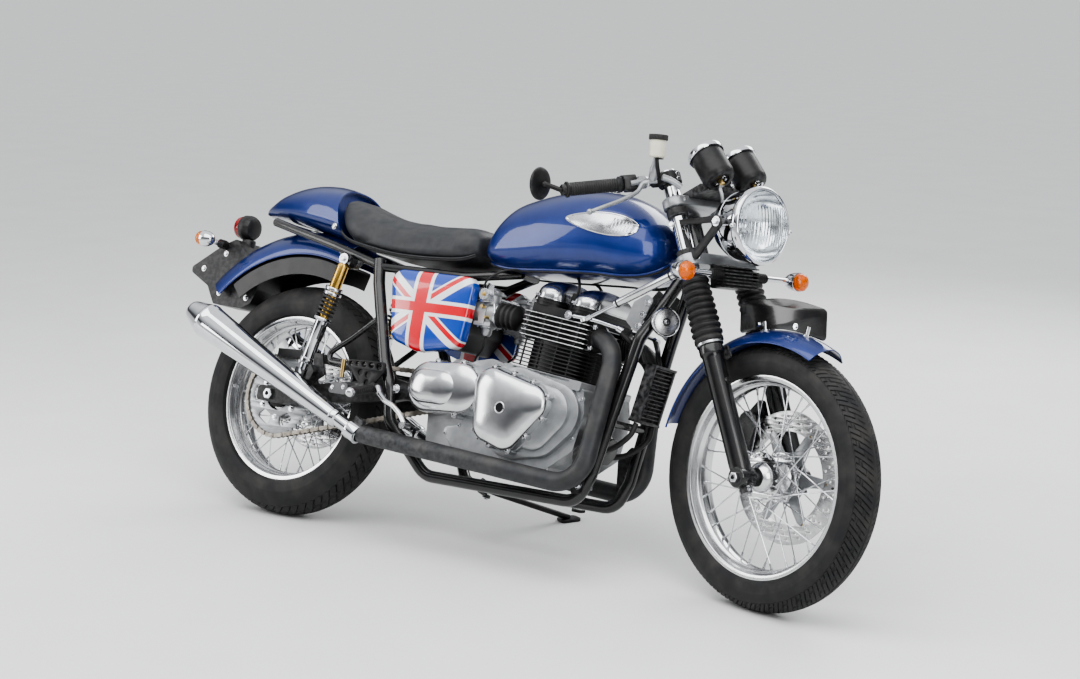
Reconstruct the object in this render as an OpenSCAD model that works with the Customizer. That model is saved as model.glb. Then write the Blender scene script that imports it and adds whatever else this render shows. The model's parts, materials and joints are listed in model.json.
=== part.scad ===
// Cafe racer motorcycle, standing on its side stand with the bars turned to the right.
// Every part is drawn upright and straight ahead, with +X forwards, +Y to the rider's left and
// the floor under the rear tyre at the origin. in_place() then leans it over, and on_steering()
// turns the front end as well.

/* [Chassis] */
// Distance between the wheel axles
wheelbase = 1484; // [1475:1:1495]
// Angle of the steering head back from upright
rake = 26; // [25.5:0.5:26.5]
// Distance of the fork legs in front of the steering axis
fork_offset = 52; // [50:1:54]
// Half the distance between the fork legs
leg_y = 95.5; // [95:0.5:97]
// Lean to the left on the side stand
lean = 18; // [17:0.5:19]
// Steering turned to the right as it parks
rest_steer = 17; // [10:1:17]

/* [Wheels] */
// Outer radius of the front tyre
front_r = 318.5; // [317:0.5:320]
// Outer radius of the rear tyre
rear_r = 320; // [318:0.5:321]
// Radius of the front tyre's round crown
front_crown = 50; // [48:1:50]
// Radius of the rear tyre's round crown
rear_crown = 65; // [62:1:65]
// Number of spokes in the front wheel
front_spoke_count = 36; // [32:4:36]
// Number of spokes in the rear wheel
rear_spoke_count = 40; // [36:4:40]

/* [Body] */
// Half width of the seat rails at the shock mounts
rail_y = 118; // [116:1:118]
// Radius of the frame's main tubes
tube_r = 16; // [15:0.5:17]
// Radius of the exhaust header pipes
header_r = 24; // [22:0.5:25]
// Largest radius of the silencers
silencer_r = 49; // [46:1:50]

/* [Hidden] */

SIDES = [-1, 1];

// ---- vectors -------------------------------------------------------------------------------
function unit(v) = v / norm(v);
function turn_x(v, a) = [v.x, v.y * cos(a) - v.z * sin(a), v.y * sin(a) + v.z * cos(a)];
function turn_y(v, a) = [v.x * cos(a) + v.z * sin(a), v.y, -v.x * sin(a) + v.z * cos(a)];
function turn_about(v, k, a) = v * cos(a) + cross(k, v) * sin(a) + k * (k * v) * (1 - cos(a));
function on_side(p, s) = [p.x, p.y * s, p.z];

// ---- steering geometry ---------------------------------------------------------------------
front_axle_at = [wheelbase, 0, front_r];
rear_axle_at = [0, 0, rear_r];
steer_dir = [-sin(rake), 0, cos(rake)];
steer_foot = front_axle_at - fork_offset * [cos(rake), 0, sin(rake)];
function steered(p) = steer_foot + turn_about(p - steer_foot, steer_dir, -rest_steer);
// A point beside the fork: forward of the legs, out to the side, and up along them
function leg_point(forward, y, up) = front_axle_at + up * steer_dir
    + forward * [cos(rake), 0, sin(rake)] + [0, y, 0];

// ---- how it stands: both round tyres touch the floor ---------------------------------------
function attitude(v, nose) = turn_y(turn_x(v, -lean), nose);
function tyre_low(c, n, ring, crown) = c.z - ring * sqrt(1 - n.z * n.z) - crown;
function rear_low(nose) = tyre_low(attitude(rear_axle_at, nose), attitude([0, 1, 0], nose),
    rear_r - rear_crown, rear_crown);
function front_low(nose) = tyre_low(attitude(steered(front_axle_at), nose),
    attitude(turn_about([0, 1, 0], steer_dir, -rest_steer), nose),
    front_r - front_crown, front_crown);
function level(nose, rounds) = rounds == 0 ? nose
    : level(nose + asin((front_low(nose) - rear_low(nose)) / wheelbase), rounds - 1);
nose_down = level(0, 4);
rise = -rear_low(nose_down);
// Moves the middle of the whole machine over the origin
middle = [-668, -269, 0];
function world(p) = attitude(p, nose_down) + [0, 0, rise] + middle;
function world_dir(v) = attitude(v, nose_down);

module in_place() {
    translate(middle + [0, 0, rise]) rotate([0, nose_down, 0]) rotate([-lean, 0, 0]) children();
}
module on_steering() {
    in_place() translate(steer_foot) rotate(a = -rest_steer, v = steer_dir)
        translate(-steer_foot) children();
}
// Local Z runs up the fork leg from the axle, local X runs forwards
module along_leg(y) {
    translate(front_axle_at + [0, y, 0]) rotate([0, -rake, 0]) children();
}
// Local Z runs out of the wheel's right side, local X runs forwards
module about_axle(at) {
    translate(at) rotate([90, 0, 0]) children();
}

// ---- tubes and lofts -----------------------------------------------------------------------
module bar(a, b, r) {
    v = b - a;
    translate(a) rotate([0, acos(v.z / norm(v)), atan2(v.y, v.x)])
        cylinder(h = norm(v), r = r, $fn = 32);
}
// A ring section of a tube that turns from direction u to direction v at the corner p
module elbow(p, u, v, bend, r) {
    turn = acos(u * v);
    n = unit(cross(u, v));
    c = p + unit(v - u) * bend / cos(turn / 2);
    x = unit(p - u * bend * tan(turn / 2) - c);
    y = cross(n, x);
    multmatrix([[x.x, y.x, n.x, c.x], [x.y, y.y, n.y, c.y], [x.z, y.z, n.z, c.z], [0, 0, 0, 1]])
        rotate_extrude(angle = turn, $fn = 96) translate([bend, 0]) circle(r = r, $fn = 32);
}
// A bent tube through a list of points; its elbows are a hair fatter than its straights
module pipe(path, r, bend = 60) {
    last = len(path) - 1;
    dirs = [for (i = [0:last - 1]) unit(path[i + 1] - path[i])];
    cut = [for (i = [0:last]) i == 0 || i == last ? 0
        : bend * tan(acos(dirs[i - 1] * dirs[i]) / 2) - 1];
    for (i = [0:last - 1]) bar(path[i] + dirs[i] * cut[i], path[i + 1] - dirs[i] * cut[i + 1], r);
    for (i = [1:1:last - 1]) elbow(path[i], dirs[i - 1], dirs[i], bend, r + 0.3);
}
// A closed skin over rings of points that all have the same count
module loft(rings) {
    n = len(rings[0]);
    m = len(rings);
    polyhedron(points = [for (ring = rings) each ring],
        faces = concat([[for (j = [0:n - 1]) j]],
            [for (i = [0:m - 2], j = [0:n - 1])
                [i * n + j, (i + 1) * n + j, (i + 1) * n + (j + 1) % n, i * n + (j + 1) % n]],
            [[for (j = [n - 1:-1:0]) (m - 1) * n + j]]), convexity = 4);
}
function power(v, e) = sign(v) * pow(abs(v), e);
// A rounded cross-section at x, from half width w and its lowest and highest z
function rib(x, w, low, high, square = 2.6, n = 20) = [for (j = [0:n - 1]) let (a = 360 * j / n)
    [x, w * power(cos(a), 2 / square),
        (low + high) / 2 + (high - low) / 2 * power(sin(a), 2 / square)]];
module plate(outline, y, thick) {
    translate([0, y + thick / 2, 0]) rotate([90, 0, 0]) linear_extrude(thick) polygon(outline);
}

// ---- frame ---------------------------------------------------------------------------------
head_low = 563;
head_high = 687;
stem_r = 14;
bearing_gap = 0.05;
spine_front = steer_foot + 600 * steer_dir;
spine_rear = [700, 0, 792];
pivot_at = [440, 0, 385];
axle_slot = 10;
arm_inner = 106;
arm_outer = 134;

module frame_spine() color("#16171a") in_place() difference() {
    union() {
        bar(steer_foot + head_low * steer_dir, steer_foot + head_high * steer_dir, 27);
        bar(spine_front - [8, 0, 0], spine_rear, 25);
        bar(spine_rear + [0, 0, 10], [700, 0, 735], 20);
    }
    bar(steer_foot + (head_low - 1) * steer_dir, steer_foot + (head_high + 1) * steer_dir,
        stem_r + bearing_gap);
}
cradle_path = [[1160, 24, 772], [1098, 78, 600], [1040, 95, 250], [1010, 95, 178],
    [540, 95, 176], [438, 151, 300], [418, 151, 392], [384, 146, 450], [300, 124, 655],
    [283, 119, 722]];
// Two arms reach out from the left tube to hold the stand's pin
lug_gap = 15.6;
lug_root = world([588, 95, 177]);
module frame_cradle() color("#16171a") {
    in_place() for (s = SIDES) pipe([for (p = cradle_path) on_side(p, s)], tube_r, 50);
    for (s = SIDES) {
        out = s * lug_gap * stand_axis;
        bar(lug_root + out, stand_pivot + out, 5);
    }
    for (s = SIDES) at_stand() translate([0, 0, s * lug_gap])
        cylinder(h = 9.4, r = 11, center = true, $fn = 48);
    at_stand() cylinder(h = 2 * lug_gap, r = stand_pin_r, center = true, $fn = 48);
}
rail_path = [[-135, 85, 800], [128, rail_y, 745], [300, rail_y, 702], [560, 100, 702],
    [688, 34, 732]];
rail_r = 12;
module seat_rails() color("#16171a") in_place() difference() {
    union() {
        for (s = SIDES) pipe([for (p = rail_path) on_side(p, s)], rail_r, 60);
        bar([688, -34, 732], [688, 34, 732], rail_r - 1);
        bar([-125, -86, 798], [-125, 86, 798], rail_r - 3);
        for (s = SIDES) plate([[128, 745], [240, 720], [215, 684], [182, 684]], s * 118, 7);
        for (s = SIDES) bar([189, s * 114, 709], [189, s * 133, 709], 14);
    }
    bar([700, 0, 700], [700, 0, 780], 20.2);
}
module swingarm() color("#141518") in_place() difference() {
    union() {
        for (s = SIDES) plate([[-42, 297], [-42, 343], [30, 348], [85, 392], [128, 392],
            [150, 362], [420, 412], [458, 406], [472, 385], [458, 362], [420, 352], [40, 297]],
            s * (arm_inner + arm_outer) / 2, arm_outer - arm_inner);
        bar([430, -arm_inner - 1, 385], [430, arm_inner + 1, 385], 24);
        for (s = SIDES) bar([107, s * (arm_outer - 1), 368], [107, s * 157, 368], 7);
        about_axle(pivot_at) cylinder(h = 296, r = 9, center = true, $fn = 48);
    }
    // The axle sits in slots, so that it can slide back and tighten the chain
    about_axle(rear_axle_at) linear_extrude(400, center = true) {
        for (x = [-axle_slot, axle_slot]) translate([x, 0])
            circle(r = rear_axle_r + bearing_gap, $fn = 48);
        square([2 * axle_slot, 2 * (rear_axle_r + bearing_gap)], center = true);
    }
}

// ---- rear suspension -----------------------------------------------------------------------
shock_top = [189, 146, 709];
shock_low = [107, 146, 368];
shock_dir = unit(shock_low - shock_top);
function shock_point(down, s) = on_side(shock_top + down * shock_dir, s);
module rear_shocks() color("#b9b6a8") in_place() for (s = SIDES) {
    difference() {
        union() {
            about_axle(shock_point(0, s)) cylinder(h = 20, r = 15, center = true, $fn = 48);
            bar(shock_point(12, s), shock_point(48, s), 17);
            bar(shock_point(47, s), shock_point(88, s), 14);
            bar(shock_point(87, s), shock_point(112, s), 24);
            bar(shock_point(111, s), shock_point(200, s), 13);
            bar(shock_point(170, s), shock_point(176, s), 26);
            bar(shock_point(176, s), shock_point(330, s), 17);
            about_axle(shock_point(norm(shock_low - shock_top), s))
                cylinder(h = 18, r = 17, center = true, $fn = 48);
        }
        about_axle(shock_point(norm(shock_low - shock_top), s))
            cylinder(h = 60, r = 7.05, center = true, $fn = 48);
    }
}
module shock_springs() color("#1c1d1f") in_place() for (s = SIDES) difference() {
    bar(shock_point(112.2, s), shock_point(169.8, s), 26);
    bar(shock_point(110, s), shock_point(172, s), 19);
}

// ---- engine --------------------------------------------------------------------------------
case_half = 118;
module crankcase() color("#9b9d9c") in_place() {
    plate([[640, 245], [640, 488], [700, 500], [760, 484], [985, 458], [1004, 395], [988, 300],
        [905, 232], [665, 222]], 0, 2 * case_half);
    plate([[505, 260], [492, 420], [560, 492], [641, 488], [641, 235], [560, 222]], 0, 150);
}
cylinder_tilt = 6;
cylinder_base = [858, 0, 470];
module on_cylinders() {
    translate(cylinder_base) rotate([0, cylinder_tilt, 0]) children();
}
module cylinder_block() color("#1b1c1e") in_place() on_cylinders() {
    translate([-98, -122, 16]) cube([196, 244, 72]);
    for (i = [0:6]) translate([-106, -127, 20 + 10 * i]) cube([212, 254, 4]);
}
module cylinder_head() color("#1d1e20") in_place() on_cylinders() {
    translate([-92, -118, 89]) cube([184, 236, 92]);
    for (i = [0:5]) translate([-102, -126, 92 + 12 * i]) cube([204, 252, 5]);
}
module cam_cover() color("#a9aaaa") in_place() on_cylinders() for (x = [-56, 56]) {
    translate([x, 0, 216]) rotate([90, 0, 0]) cylinder(h = 150, r = 38, center = true, $fn = 64);
    for (s = SIDES) translate([x, s * 75, 216]) sphere(r = 38.5, $fn = 64);
    translate([x - 42, -100, 182]) cube([84, 200, 22]);
}
module rounded(corners, r) {
    hull() for (c = corners) translate(c) circle(r = r, $fn = 48);
}
module cover(corners, r, y, thick) {
    translate([0, y, 0]) rotate([90, 0, 0]) linear_extrude(thick) rounded(corners, r);
}
module engine_covers() color("#b4b6b6") in_place() {
    cover([[752, 425], [872, 398], [812, 322], [764, 335]], 50, -case_half - 0.2, 52);
    cover([[757, 418], [862, 394], [810, 332], [770, 342]], 38, -case_half - 52, 22);
    cover([[540, 402], [650, 410]], 62, -112, 50);
    cover([[545, 402], [645, 410]], 46, -162, 20);
    cover([[835, 388]], 92, case_half + 46.2, 46);
    cover([[835, 388]], 70, case_half + 62, 16);
    cover([[560, 402], [660, 405]], 58, case_half + 36.2, 36);
}
module carburettors() color("#8c8e90") in_place() for (s = SIDES) {
    bar([574, s * 72, 622], [748, s * 72, 612], 26);
    bar([640, s * 72, 556], [640, s * 72, 690], 22);
}
module airbox() color("#18191b") in_place() {
    plate([[405, 530], [405, 680], [560, 688], [573, 640], [573, 560], [540, 512]], 0, 190);
}

// ---- exhaust -------------------------------------------------------------------------------
header_path = [[956, 72, 588], [1052, 100, 590], [1046, 152, 214], [374, 178, 253]];
module exhaust_headers() color("#3b3e41") in_place() for (s = SIDES)
    pipe([for (p = header_path) on_side(p, s)], header_r, 62);
silencer_front = [369, 178.5, 255];
silencer_neck = [286, 185, 284];
silencer_tip = [-272, 202, 515];
silencer_wide = silencer_neck + 0.887 * (silencer_tip - silencer_neck);
module cone(a, b, r1, r2) {
    v = b - a;
    translate(a) rotate([0, acos(v.z / norm(v)), atan2(v.y, v.x)])
        cylinder(h = norm(v), r1 = r1, r2 = r2, $fn = 64);
}
module silencers() color("#c9cbcc") in_place() for (s = SIDES) difference() {
    union() {
        bar(on_side(silencer_front, s), on_side(silencer_neck + [-8, 0.3, 3], s), 20);
        cone(on_side(silencer_neck, s), on_side(silencer_wide, s), 23, silencer_r);
        cone(on_side(silencer_wide, s), on_side(silencer_tip, s), silencer_r, 26);
    }
    bar(on_side(silencer_wide, s), on_side(2 * silencer_tip - silencer_wide, s), 22);
}
module oil_cooler() color("#202124") in_place() {
    translate([1092, -52, 400]) rotate([0, 9, 0]) cube([28, 104, 150]);
}

// ---- bodywork ------------------------------------------------------------------------------
tank_ribs = [[592, 60, 775, 800], [600, 88, 752, 820], [625, 104, 738, 868],
    [670, 116, 727, 914], [730, 128, 728, 938], [800, 140, 733, 954], [880, 150, 738, 966],
    [960, 155, 741, 964], [1020, 150, 740, 948], [1070, 134, 745, 918], [1105, 108, 768, 885],
    [1125, 78, 792, 860], [1132, 50, 808, 842]];
module fuel_tank() color("#0a2f86") in_place() difference() {
    loft([for (t = tank_ribs) rib(t[0], t[1], t[2], t[3])]);
    plate([[668, 700], [668, 826], [1140, 884], [1140, 700]], 0, 66);
    plate([[640, 700], [640, 752], [716, 752], [716, 700]], 0, 116);
}
module fuel_cap() color("#c4c6c8") in_place() translate([880, 0, 966.5]) {
    cylinder(h = 12, r = 34, $fn = 64);
    translate([0, 0, 12]) cylinder(h = 8, r1 = 30, r2 = 24, $fn = 64);
}
seat_ribs = [[98, 104, 800, 886], [120, 116, 768, 884], [170, 128, 749, 872],
    [240, 131, 736, 854], [330, 130, 725, 842], [430, 126, 724, 838], [520, 118, 731, 841],
    [562, 108, 742, 838], [580, 92, 756, 828]];
// The seat and its cowl are hollowed to pass over the rear mudguard
module over_mudguard() difference() {
    children();
    about_axle(rear_axle_at) cylinder(h = 156, r = 478, center = true, $fn = 160);
}
module seat() color("#2c2e31") in_place() over_mudguard()
    loft([for (t = seat_ribs) rib(t[0], t[1], t[2], t[3], 3)]);
cowl_ribs = [[-225, 25, 822, 838], [-200, 45, 818, 858], [-150, 72, 817, 888],
    [-90, 92, 805, 911], [-30, 106, 794, 924], [30, 113, 780, 925], [75, 117, 771, 918],
    [96, 119, 767, 912]];
module seat_cowl() color("#0a2f86") in_place() over_mudguard()
    loft([for (t = cowl_ribs) rib(t[0], t[1], t[2], t[3], 2.4)]);
panel_corners = [[356, 690], [602, 688], [594, 526], [472, 503], [394, 524]];
panel_middle = [480, 606];
// Each panel is notched over the rail that runs along its top edge
module side_panels() color("#2743a0") in_place() for (s = SIDES) difference() {
    hull() for (c = panel_corners) {
        inner = panel_middle + 0.6 * (c - panel_middle);
        translate([c.x, s * 120, c.y]) sphere(r = 14, $fn = 16);
        translate([inner.x, s * 136, inner.y]) sphere(r = 14, $fn = 16);
    }
    bar([250, s * 121.5, 702], [620, s * 95.8, 702], rail_r + 1);
}
// A mudguard's strip: a round crown over the tyre, between two angles about the axle
module guard(at, crown_r, ring_r, low_r, thick, from, to) {
    about_axle(at) rotate([0, 0, from]) rotate_extrude(angle = to - from, $fn = 96)
        intersection() {
            difference() {
                translate([ring_r, 0]) circle(r = crown_r, $fn = 64);
                translate([ring_r, 0]) circle(r = crown_r - thick, $fn = 64);
            }
            translate([low_r, -crown_r - 1]) square([ring_r + crown_r, 2 * crown_r + 2]);
        }
}
module rear_mudguard() color("#0a2f86") in_place()
    guard(rear_axle_at, 75, 400, 401, 3, 73, 140);
module rear_inner_guard() color("#121315") in_place()
    about_axle(rear_axle_at) rotate([0, 0, 74]) rotate_extrude(angle = 58, $fn = 96)
        polygon([[345, 69], [345, 72], [397, 72], [397, -72], [345, -72], [345, -69],
            [394, -69], [394, 69]]);
module tail_bracket() color("#121315") in_place() difference() {
    union() {
        plate([[-345, 725], [-452, 652], [-450, 636], [-380, 602], [-346, 552], [-240, 548],
            [-205, 566], [-190, 606], [-190, 660], [-300, 745]], 0, 104);
        bar([-300, 0, 730], [-300, 0, 752], 20);
        for (s = SIDES) bar([-338, s * 50, 724], [-338, s * 96, 724], 8);
    }
    about_axle(rear_axle_at) cylinder(h = 300, r = 477, center = true, $fn = 128);
}
module rear_lamps() color("#b9bbbd") in_place() {
    translate([-352, 0, 786]) rotate([0, 90, 0]) cylinder(h = 62, r = 34, $fn = 64);
    for (s = SIDES) translate([0, s * 120, 728]) {
        translate([-352, 0, 0]) sphere(r = 23, $fn = 48);
        translate([-392, 0, 0]) rotate([0, 90, 0]) cylinder(h = 40, r1 = 21, r2 = 23, $fn = 48);
    }
}
module drive_chain() color("#6d6a60") in_place() translate([0, -83, 0]) rotate([90, 0, 0])
    linear_extrude(18) difference() {
        hull() {
            translate([0, rear_r]) circle(r = 118.5, $fn = 96);
            translate([560, 400]) circle(r = 53, $fn = 64);
        }
        hull() {
            translate([0, rear_r]) circle(r = 104, $fn = 96);
            translate([560, 400]) circle(r = 38.5, $fn = 64);
        }
    }
module footrests() color("#202225") in_place() for (s = SIDES) {
    difference() {
        plate([[274, 442], [412, 446], [412, 422], [372, 370], [352, 370]], s * 176, 8);
        for (h = [[300, 432, 6], [322, 434, 6], [344, 434, 7], [368, 434, 8], [394, 434, 9],
            [336, 412, 8], [362, 408, 9], [362, 388, 8]])
            about_axle([h[0], s * 176, h[1]]) cylinder(h = 12, r = h[2], center = true, $fn = 32);
    }
    bar([388, s * 180.2, 377], [408, s * 290, 353], 11);
    translate([409, s * 296, 352]) sphere(r = 13, $fn = 48);
    pipe([[430, s * 196, 350], [480, s * 204, 338], [535, s * 210, 292]], 7, 30);
}
module rear_caliper() color("#26282b") in_place() difference() {
    translate([70, 70, 236]) rotate([0, 20, 0]) cube([56, 34, 74]);
    about_axle([0, 84.5, rear_r]) cylinder(h = 15, r = 134, center = true, $fn = 96);
    about_axle(rear_axle_at) cylinder(h = 400, r = 80, center = true, $fn = 96);
}
module horn() color("#2a2c2e") in_place() translate([1150, -62, 650]) rotate([0, 90, -38]) {
    cylinder(h = 16, r = 36, $fn = 64);
    translate([0, 0, -14]) cylinder(h = 14, r1 = 16, r2 = 24, $fn = 64);
}

// ---- fork and front end --------------------------------------------------------------------
stanchion_r = 20.5;
slider_top = 330;
gaiter_low = 338;
gaiter_high = 508;
front_axle_r = 8.5;
rear_axle_r = 10;
yoke_low = 532;
yoke_high = 690;

module yoke(up, thick) {
    along_leg(0) translate([0, 0, up]) difference() {
        linear_extrude(thick) {
            hull() for (s = SIDES) translate([-4, s * 40]) circle(r = 26, $fn = 48);
            for (s = SIDES) hull() {
                translate([-fork_offset, 0]) circle(r = 27, $fn = 48);
                translate([0, s * leg_y]) circle(r = 31, $fn = 48);
            }
        }
        for (s = SIDES) translate([0, s * leg_y, -1])
            cylinder(h = thick + 2, r = stanchion_r + bearing_gap, $fn = 64);
    }
}
module fork_yokes() color("#a7aaad") on_steering() {
    yoke(yoke_low, 30);
    yoke(yoke_high, 24);
    bar(steer_foot + (yoke_low + 5) * steer_dir, steer_foot + (yoke_high + 34) * steer_dir, stem_r);
}
module fork_stanchions() color("#c8cbce") on_steering() for (s = SIDES)
    along_leg(s * leg_y) translate([0, 0, slider_top + 0.5])
        cylinder(h = 460, r = stanchion_r, $fn = 64);
module fork_gaiters() color("#1a1b1c") on_steering() for (s = SIDES)
    along_leg(s * leg_y) rotate_extrude($fn = 64) polygon(concat(
        [[stanchion_r + bearing_gap, gaiter_low], [30, gaiter_low]],
        [for (i = [0:8]) each [[33, gaiter_low + 12 + 17 * i], [38 - i * 0.25, gaiter_low + 20 + 17 * i]]],
        [[30, gaiter_high], [stanchion_r + bearing_gap, gaiter_high]]));
module fork_sliders() color("#101114") on_steering() for (s = SIDES) difference() {
    union() {
        along_leg(s * leg_y) cylinder(h = slider_top, r = 26, $fn = 64);
        along_leg(s * leg_y) translate([0, 0, slider_top - 22]) cylinder(h = 22, r = 30, $fn = 64);
        about_axle(front_axle_at + [0, s * leg_y, 0]) cylinder(h = 52, r = 25, center = true, $fn = 64);
        if (s > 0) plate([[1395, 425], [1330, 410], [1322, 452], [1365, 500]], 78, 16);
    }
    about_axle(front_axle_at) cylinder(h = 400, r = front_axle_r + bearing_gap, center = true, $fn = 64);
}
module front_axle() color("#b5b8bb") on_steering() about_axle(front_axle_at) difference() {
    union() {
        cylinder(h = 246, r = front_axle_r, center = true, $fn = 64);
        translate([0, 0, 121.8]) cylinder(h = 9, r = 13, $fn = 64);
        for (s = SIDES) translate([0, 0, s * 61.3])
            cylinder(h = 15.6, r = 14, center = true, $fn = 64);
    }
    cylinder(h = 300, r = 6, center = true, $fn = 64);
}
module front_mudguard() color("#0a2f86") on_steering() {
    guard(front_axle_at, 68, 282, 316, 2.5, 64.6, 164.6);
    for (s = SIDES) plate([[1330, 600], [1366, 618], [1380, 596], [1345, 580]], s * 64.6, 6.5);
}
module number_plate() color("#0c0d0f") on_steering() plate(concat(
    [for (i = [0:8]) [1337 + 34 * i, 726 + 17 * sin(22.5 * i)]],
    [for (i = [8:-1:0]) [1343 + 34 * i, 650 + 20 * sin(22.5 * i)]]), 0, 4);
headlamp_at = [1376, 0, 912];
module on_headlamp() {
    translate(headlamp_at) rotate([0, 87, 0]) children();
}
module headlamp_shell() color("#c9cccf") on_steering() on_headlamp() rotate_extrude($fn = 96)
    polygon([[0, -122], [30, -119], [56, -106], [76, -80], [86, -48], [88, -14], [95, -10],
        [95, 8], [89, 12], [86, 8], [86, -10], [80, -46], [70, -78], [50, -100], [26, -112],
        [0, -116]]);
module headlamp_lens() color("#dfe8ee") on_steering() on_headlamp() rotate_extrude($fn = 96)
    polygon([[0, 4], [85.8, 4], [85.8, 9], [70, 16], [48, 21], [24, 24], [0, 25]]);
module headlamp_brackets() color("#1b1c1f") on_steering() for (s = SIDES) {
    plate([[1180, 906], [1345, 925], [1352, 905], [1276, 818], [1262, 826], [1312, 892],
        [1188, 884]], s * 108, 7);
    bar([1336, s * 104.4, 912], [1336, s * 90, 912], 10);
}
gauge_at = [1255, 58, 1046];
module instruments() color("#17181a") on_steering() {
    for (s = SIDES) translate(on_side(gauge_at, s)) rotate([0, -43, 0])
        translate([0, 0, -46]) {
            cylinder(h = 82, r = 41, $fn = 64);
            translate([0, 0, 80]) cylinder(h = 14, r = 46, $fn = 64);
        }
    plate([[1176, 968], [1176, 976], [1236, 1004], [1262, 1000], [1262, 990], [1200, 968]], 0, 150);
}
module regulator() color("#232528") on_steering() difference() {
    plate([[1272, 812], [1330, 806], [1336, 758], [1282, 752]], 0, 104);
    for (i = [0:5]) translate([1326, -60, 762 + 8 * i]) cube([20, 120, 3.5]);
}
bar_in = leg_point(0, leg_y, 768);
bar_out = [1043, 340, 957];
bar_dir = unit(bar_out - bar_in);
module handlebars() color("#1d1e21") on_steering() for (s = SIDES) {
    along_leg(s * leg_y) difference() {
        translate([0, 0, 752]) cylinder(h = 30, r = 30, $fn = 64);
        translate([0, 0, 740]) cylinder(h = 60, r = stanchion_r + bearing_gap, $fn = 64);
    }
    bar(on_side(bar_in + bar_dir * 26, s), on_side(bar_out, s), 11);
}
module grips() color("#131415") on_steering() for (s = SIDES) difference() {
    bar(on_side(bar_in + bar_dir * 130, s), on_side(bar_out - bar_dir * 2, s), 16.5);
    bar(on_side(bar_in + bar_dir * 120, s), on_side(bar_out + bar_dir * 10, s), 11.05);
}
module control_levers() color("#b2b5b8") on_steering() for (s = SIDES) {
    bar(on_side(bar_in + bar_dir * 66 + [18, 0, 6], s),
        on_side(bar_in + bar_dir * 116 + [18, 0, 2], s), 9);
    bar(on_side([1140, 184, 990], s), on_side([1158, 210, 960], s), 5);
    translate(on_side([1158, 210, 960], s)) sphere(r = 5.4, $fn = 32);
    bar(on_side([1158, 210, 960], s), on_side([1132, 330, 908], s), 5);
    translate(on_side([1131, 333, 907], s)) sphere(r = 7.5, $fn = 32);
    if (s < 0) {
        translate([1190, -186, 1054]) cylinder(h = 42, r = 20, $fn = 48);
        translate([1190, -186, 1096]) cylinder(h = 13, r = 23.5, $fn = 48);
        bar([1166, -170, 1000], [1188, -184, 1070], 5);
    }
}
module bar_end_mirrors() color("#141416") on_steering() for (s = SIDES) {
    bar(on_side(bar_out + bar_dir * 2, s), on_side([1000, 368, 966], s), 6);
    translate(on_side([996, 378, 967], s)) rotate([0, 90, s * -12])
        cylinder(h = 9, r = 40, center = true, $fn = 64);
}
module front_indicators() color("#c3c6c9") on_steering() for (s = SIDES) {
    bar([1318, s * 58, 788], [1318, s * 180, 788], 8);
    translate([1328, s * 200, 788]) {
        sphere(r = 24, $fn = 48);
        rotate([0, 90, 0]) cylinder(h = 22, r1 = 23.5, r2 = 21, $fn = 48);
        translate([-34, 0, 0]) rotate([0, 90, 0]) cylinder(h = 34, r1 = 9, r2 = 23, $fn = 48);
    }
}
module front_caliper() color("#2a2c30") on_steering() difference() {
    translate([1318, 37, 372]) rotate([0, 18, 0]) cube([46, 56, 96]);
    about_axle(front_axle_at + [0, 60.5, 0]) cylinder(h = 15, r = 168, center = true, $fn = 96);
    about_axle(front_axle_at) cylinder(h = 400, r = 98, center = true, $fn = 96);
}

// ---- wheels --------------------------------------------------------------------------------
module tyre(r, crown, rim_r, half) {
    rotate_extrude($fn = 128) union() {
        intersection() {
            translate([r - crown, 0]) circle(r = crown, $fn = 96);
            translate([rim_r + 1, -crown - 1]) square([r, 2 * crown + 2]);
        }
        translate([rim_r - 10, 5 - half]) square([12, 2 * half - 10]);
    }
}
module rim(rim_r, half) {
    rotate_extrude($fn = 128) polygon([[rim_r, half], [rim_r - 15, half], [rim_r - 15, 21],
        [rim_r - 26, 14], [rim_r - 26, -14], [rim_r - 15, -21], [rim_r - 15, -half],
        [rim_r, -half], [rim_r, 4 - half], [rim_r - 11, 4 - half], [rim_r - 11, -19],
        [rim_r - 21, -12], [rim_r - 21, 12], [rim_r - 11, 19], [rim_r - 11, half - 4],
        [rim_r, half - 4]]);
}
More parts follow.
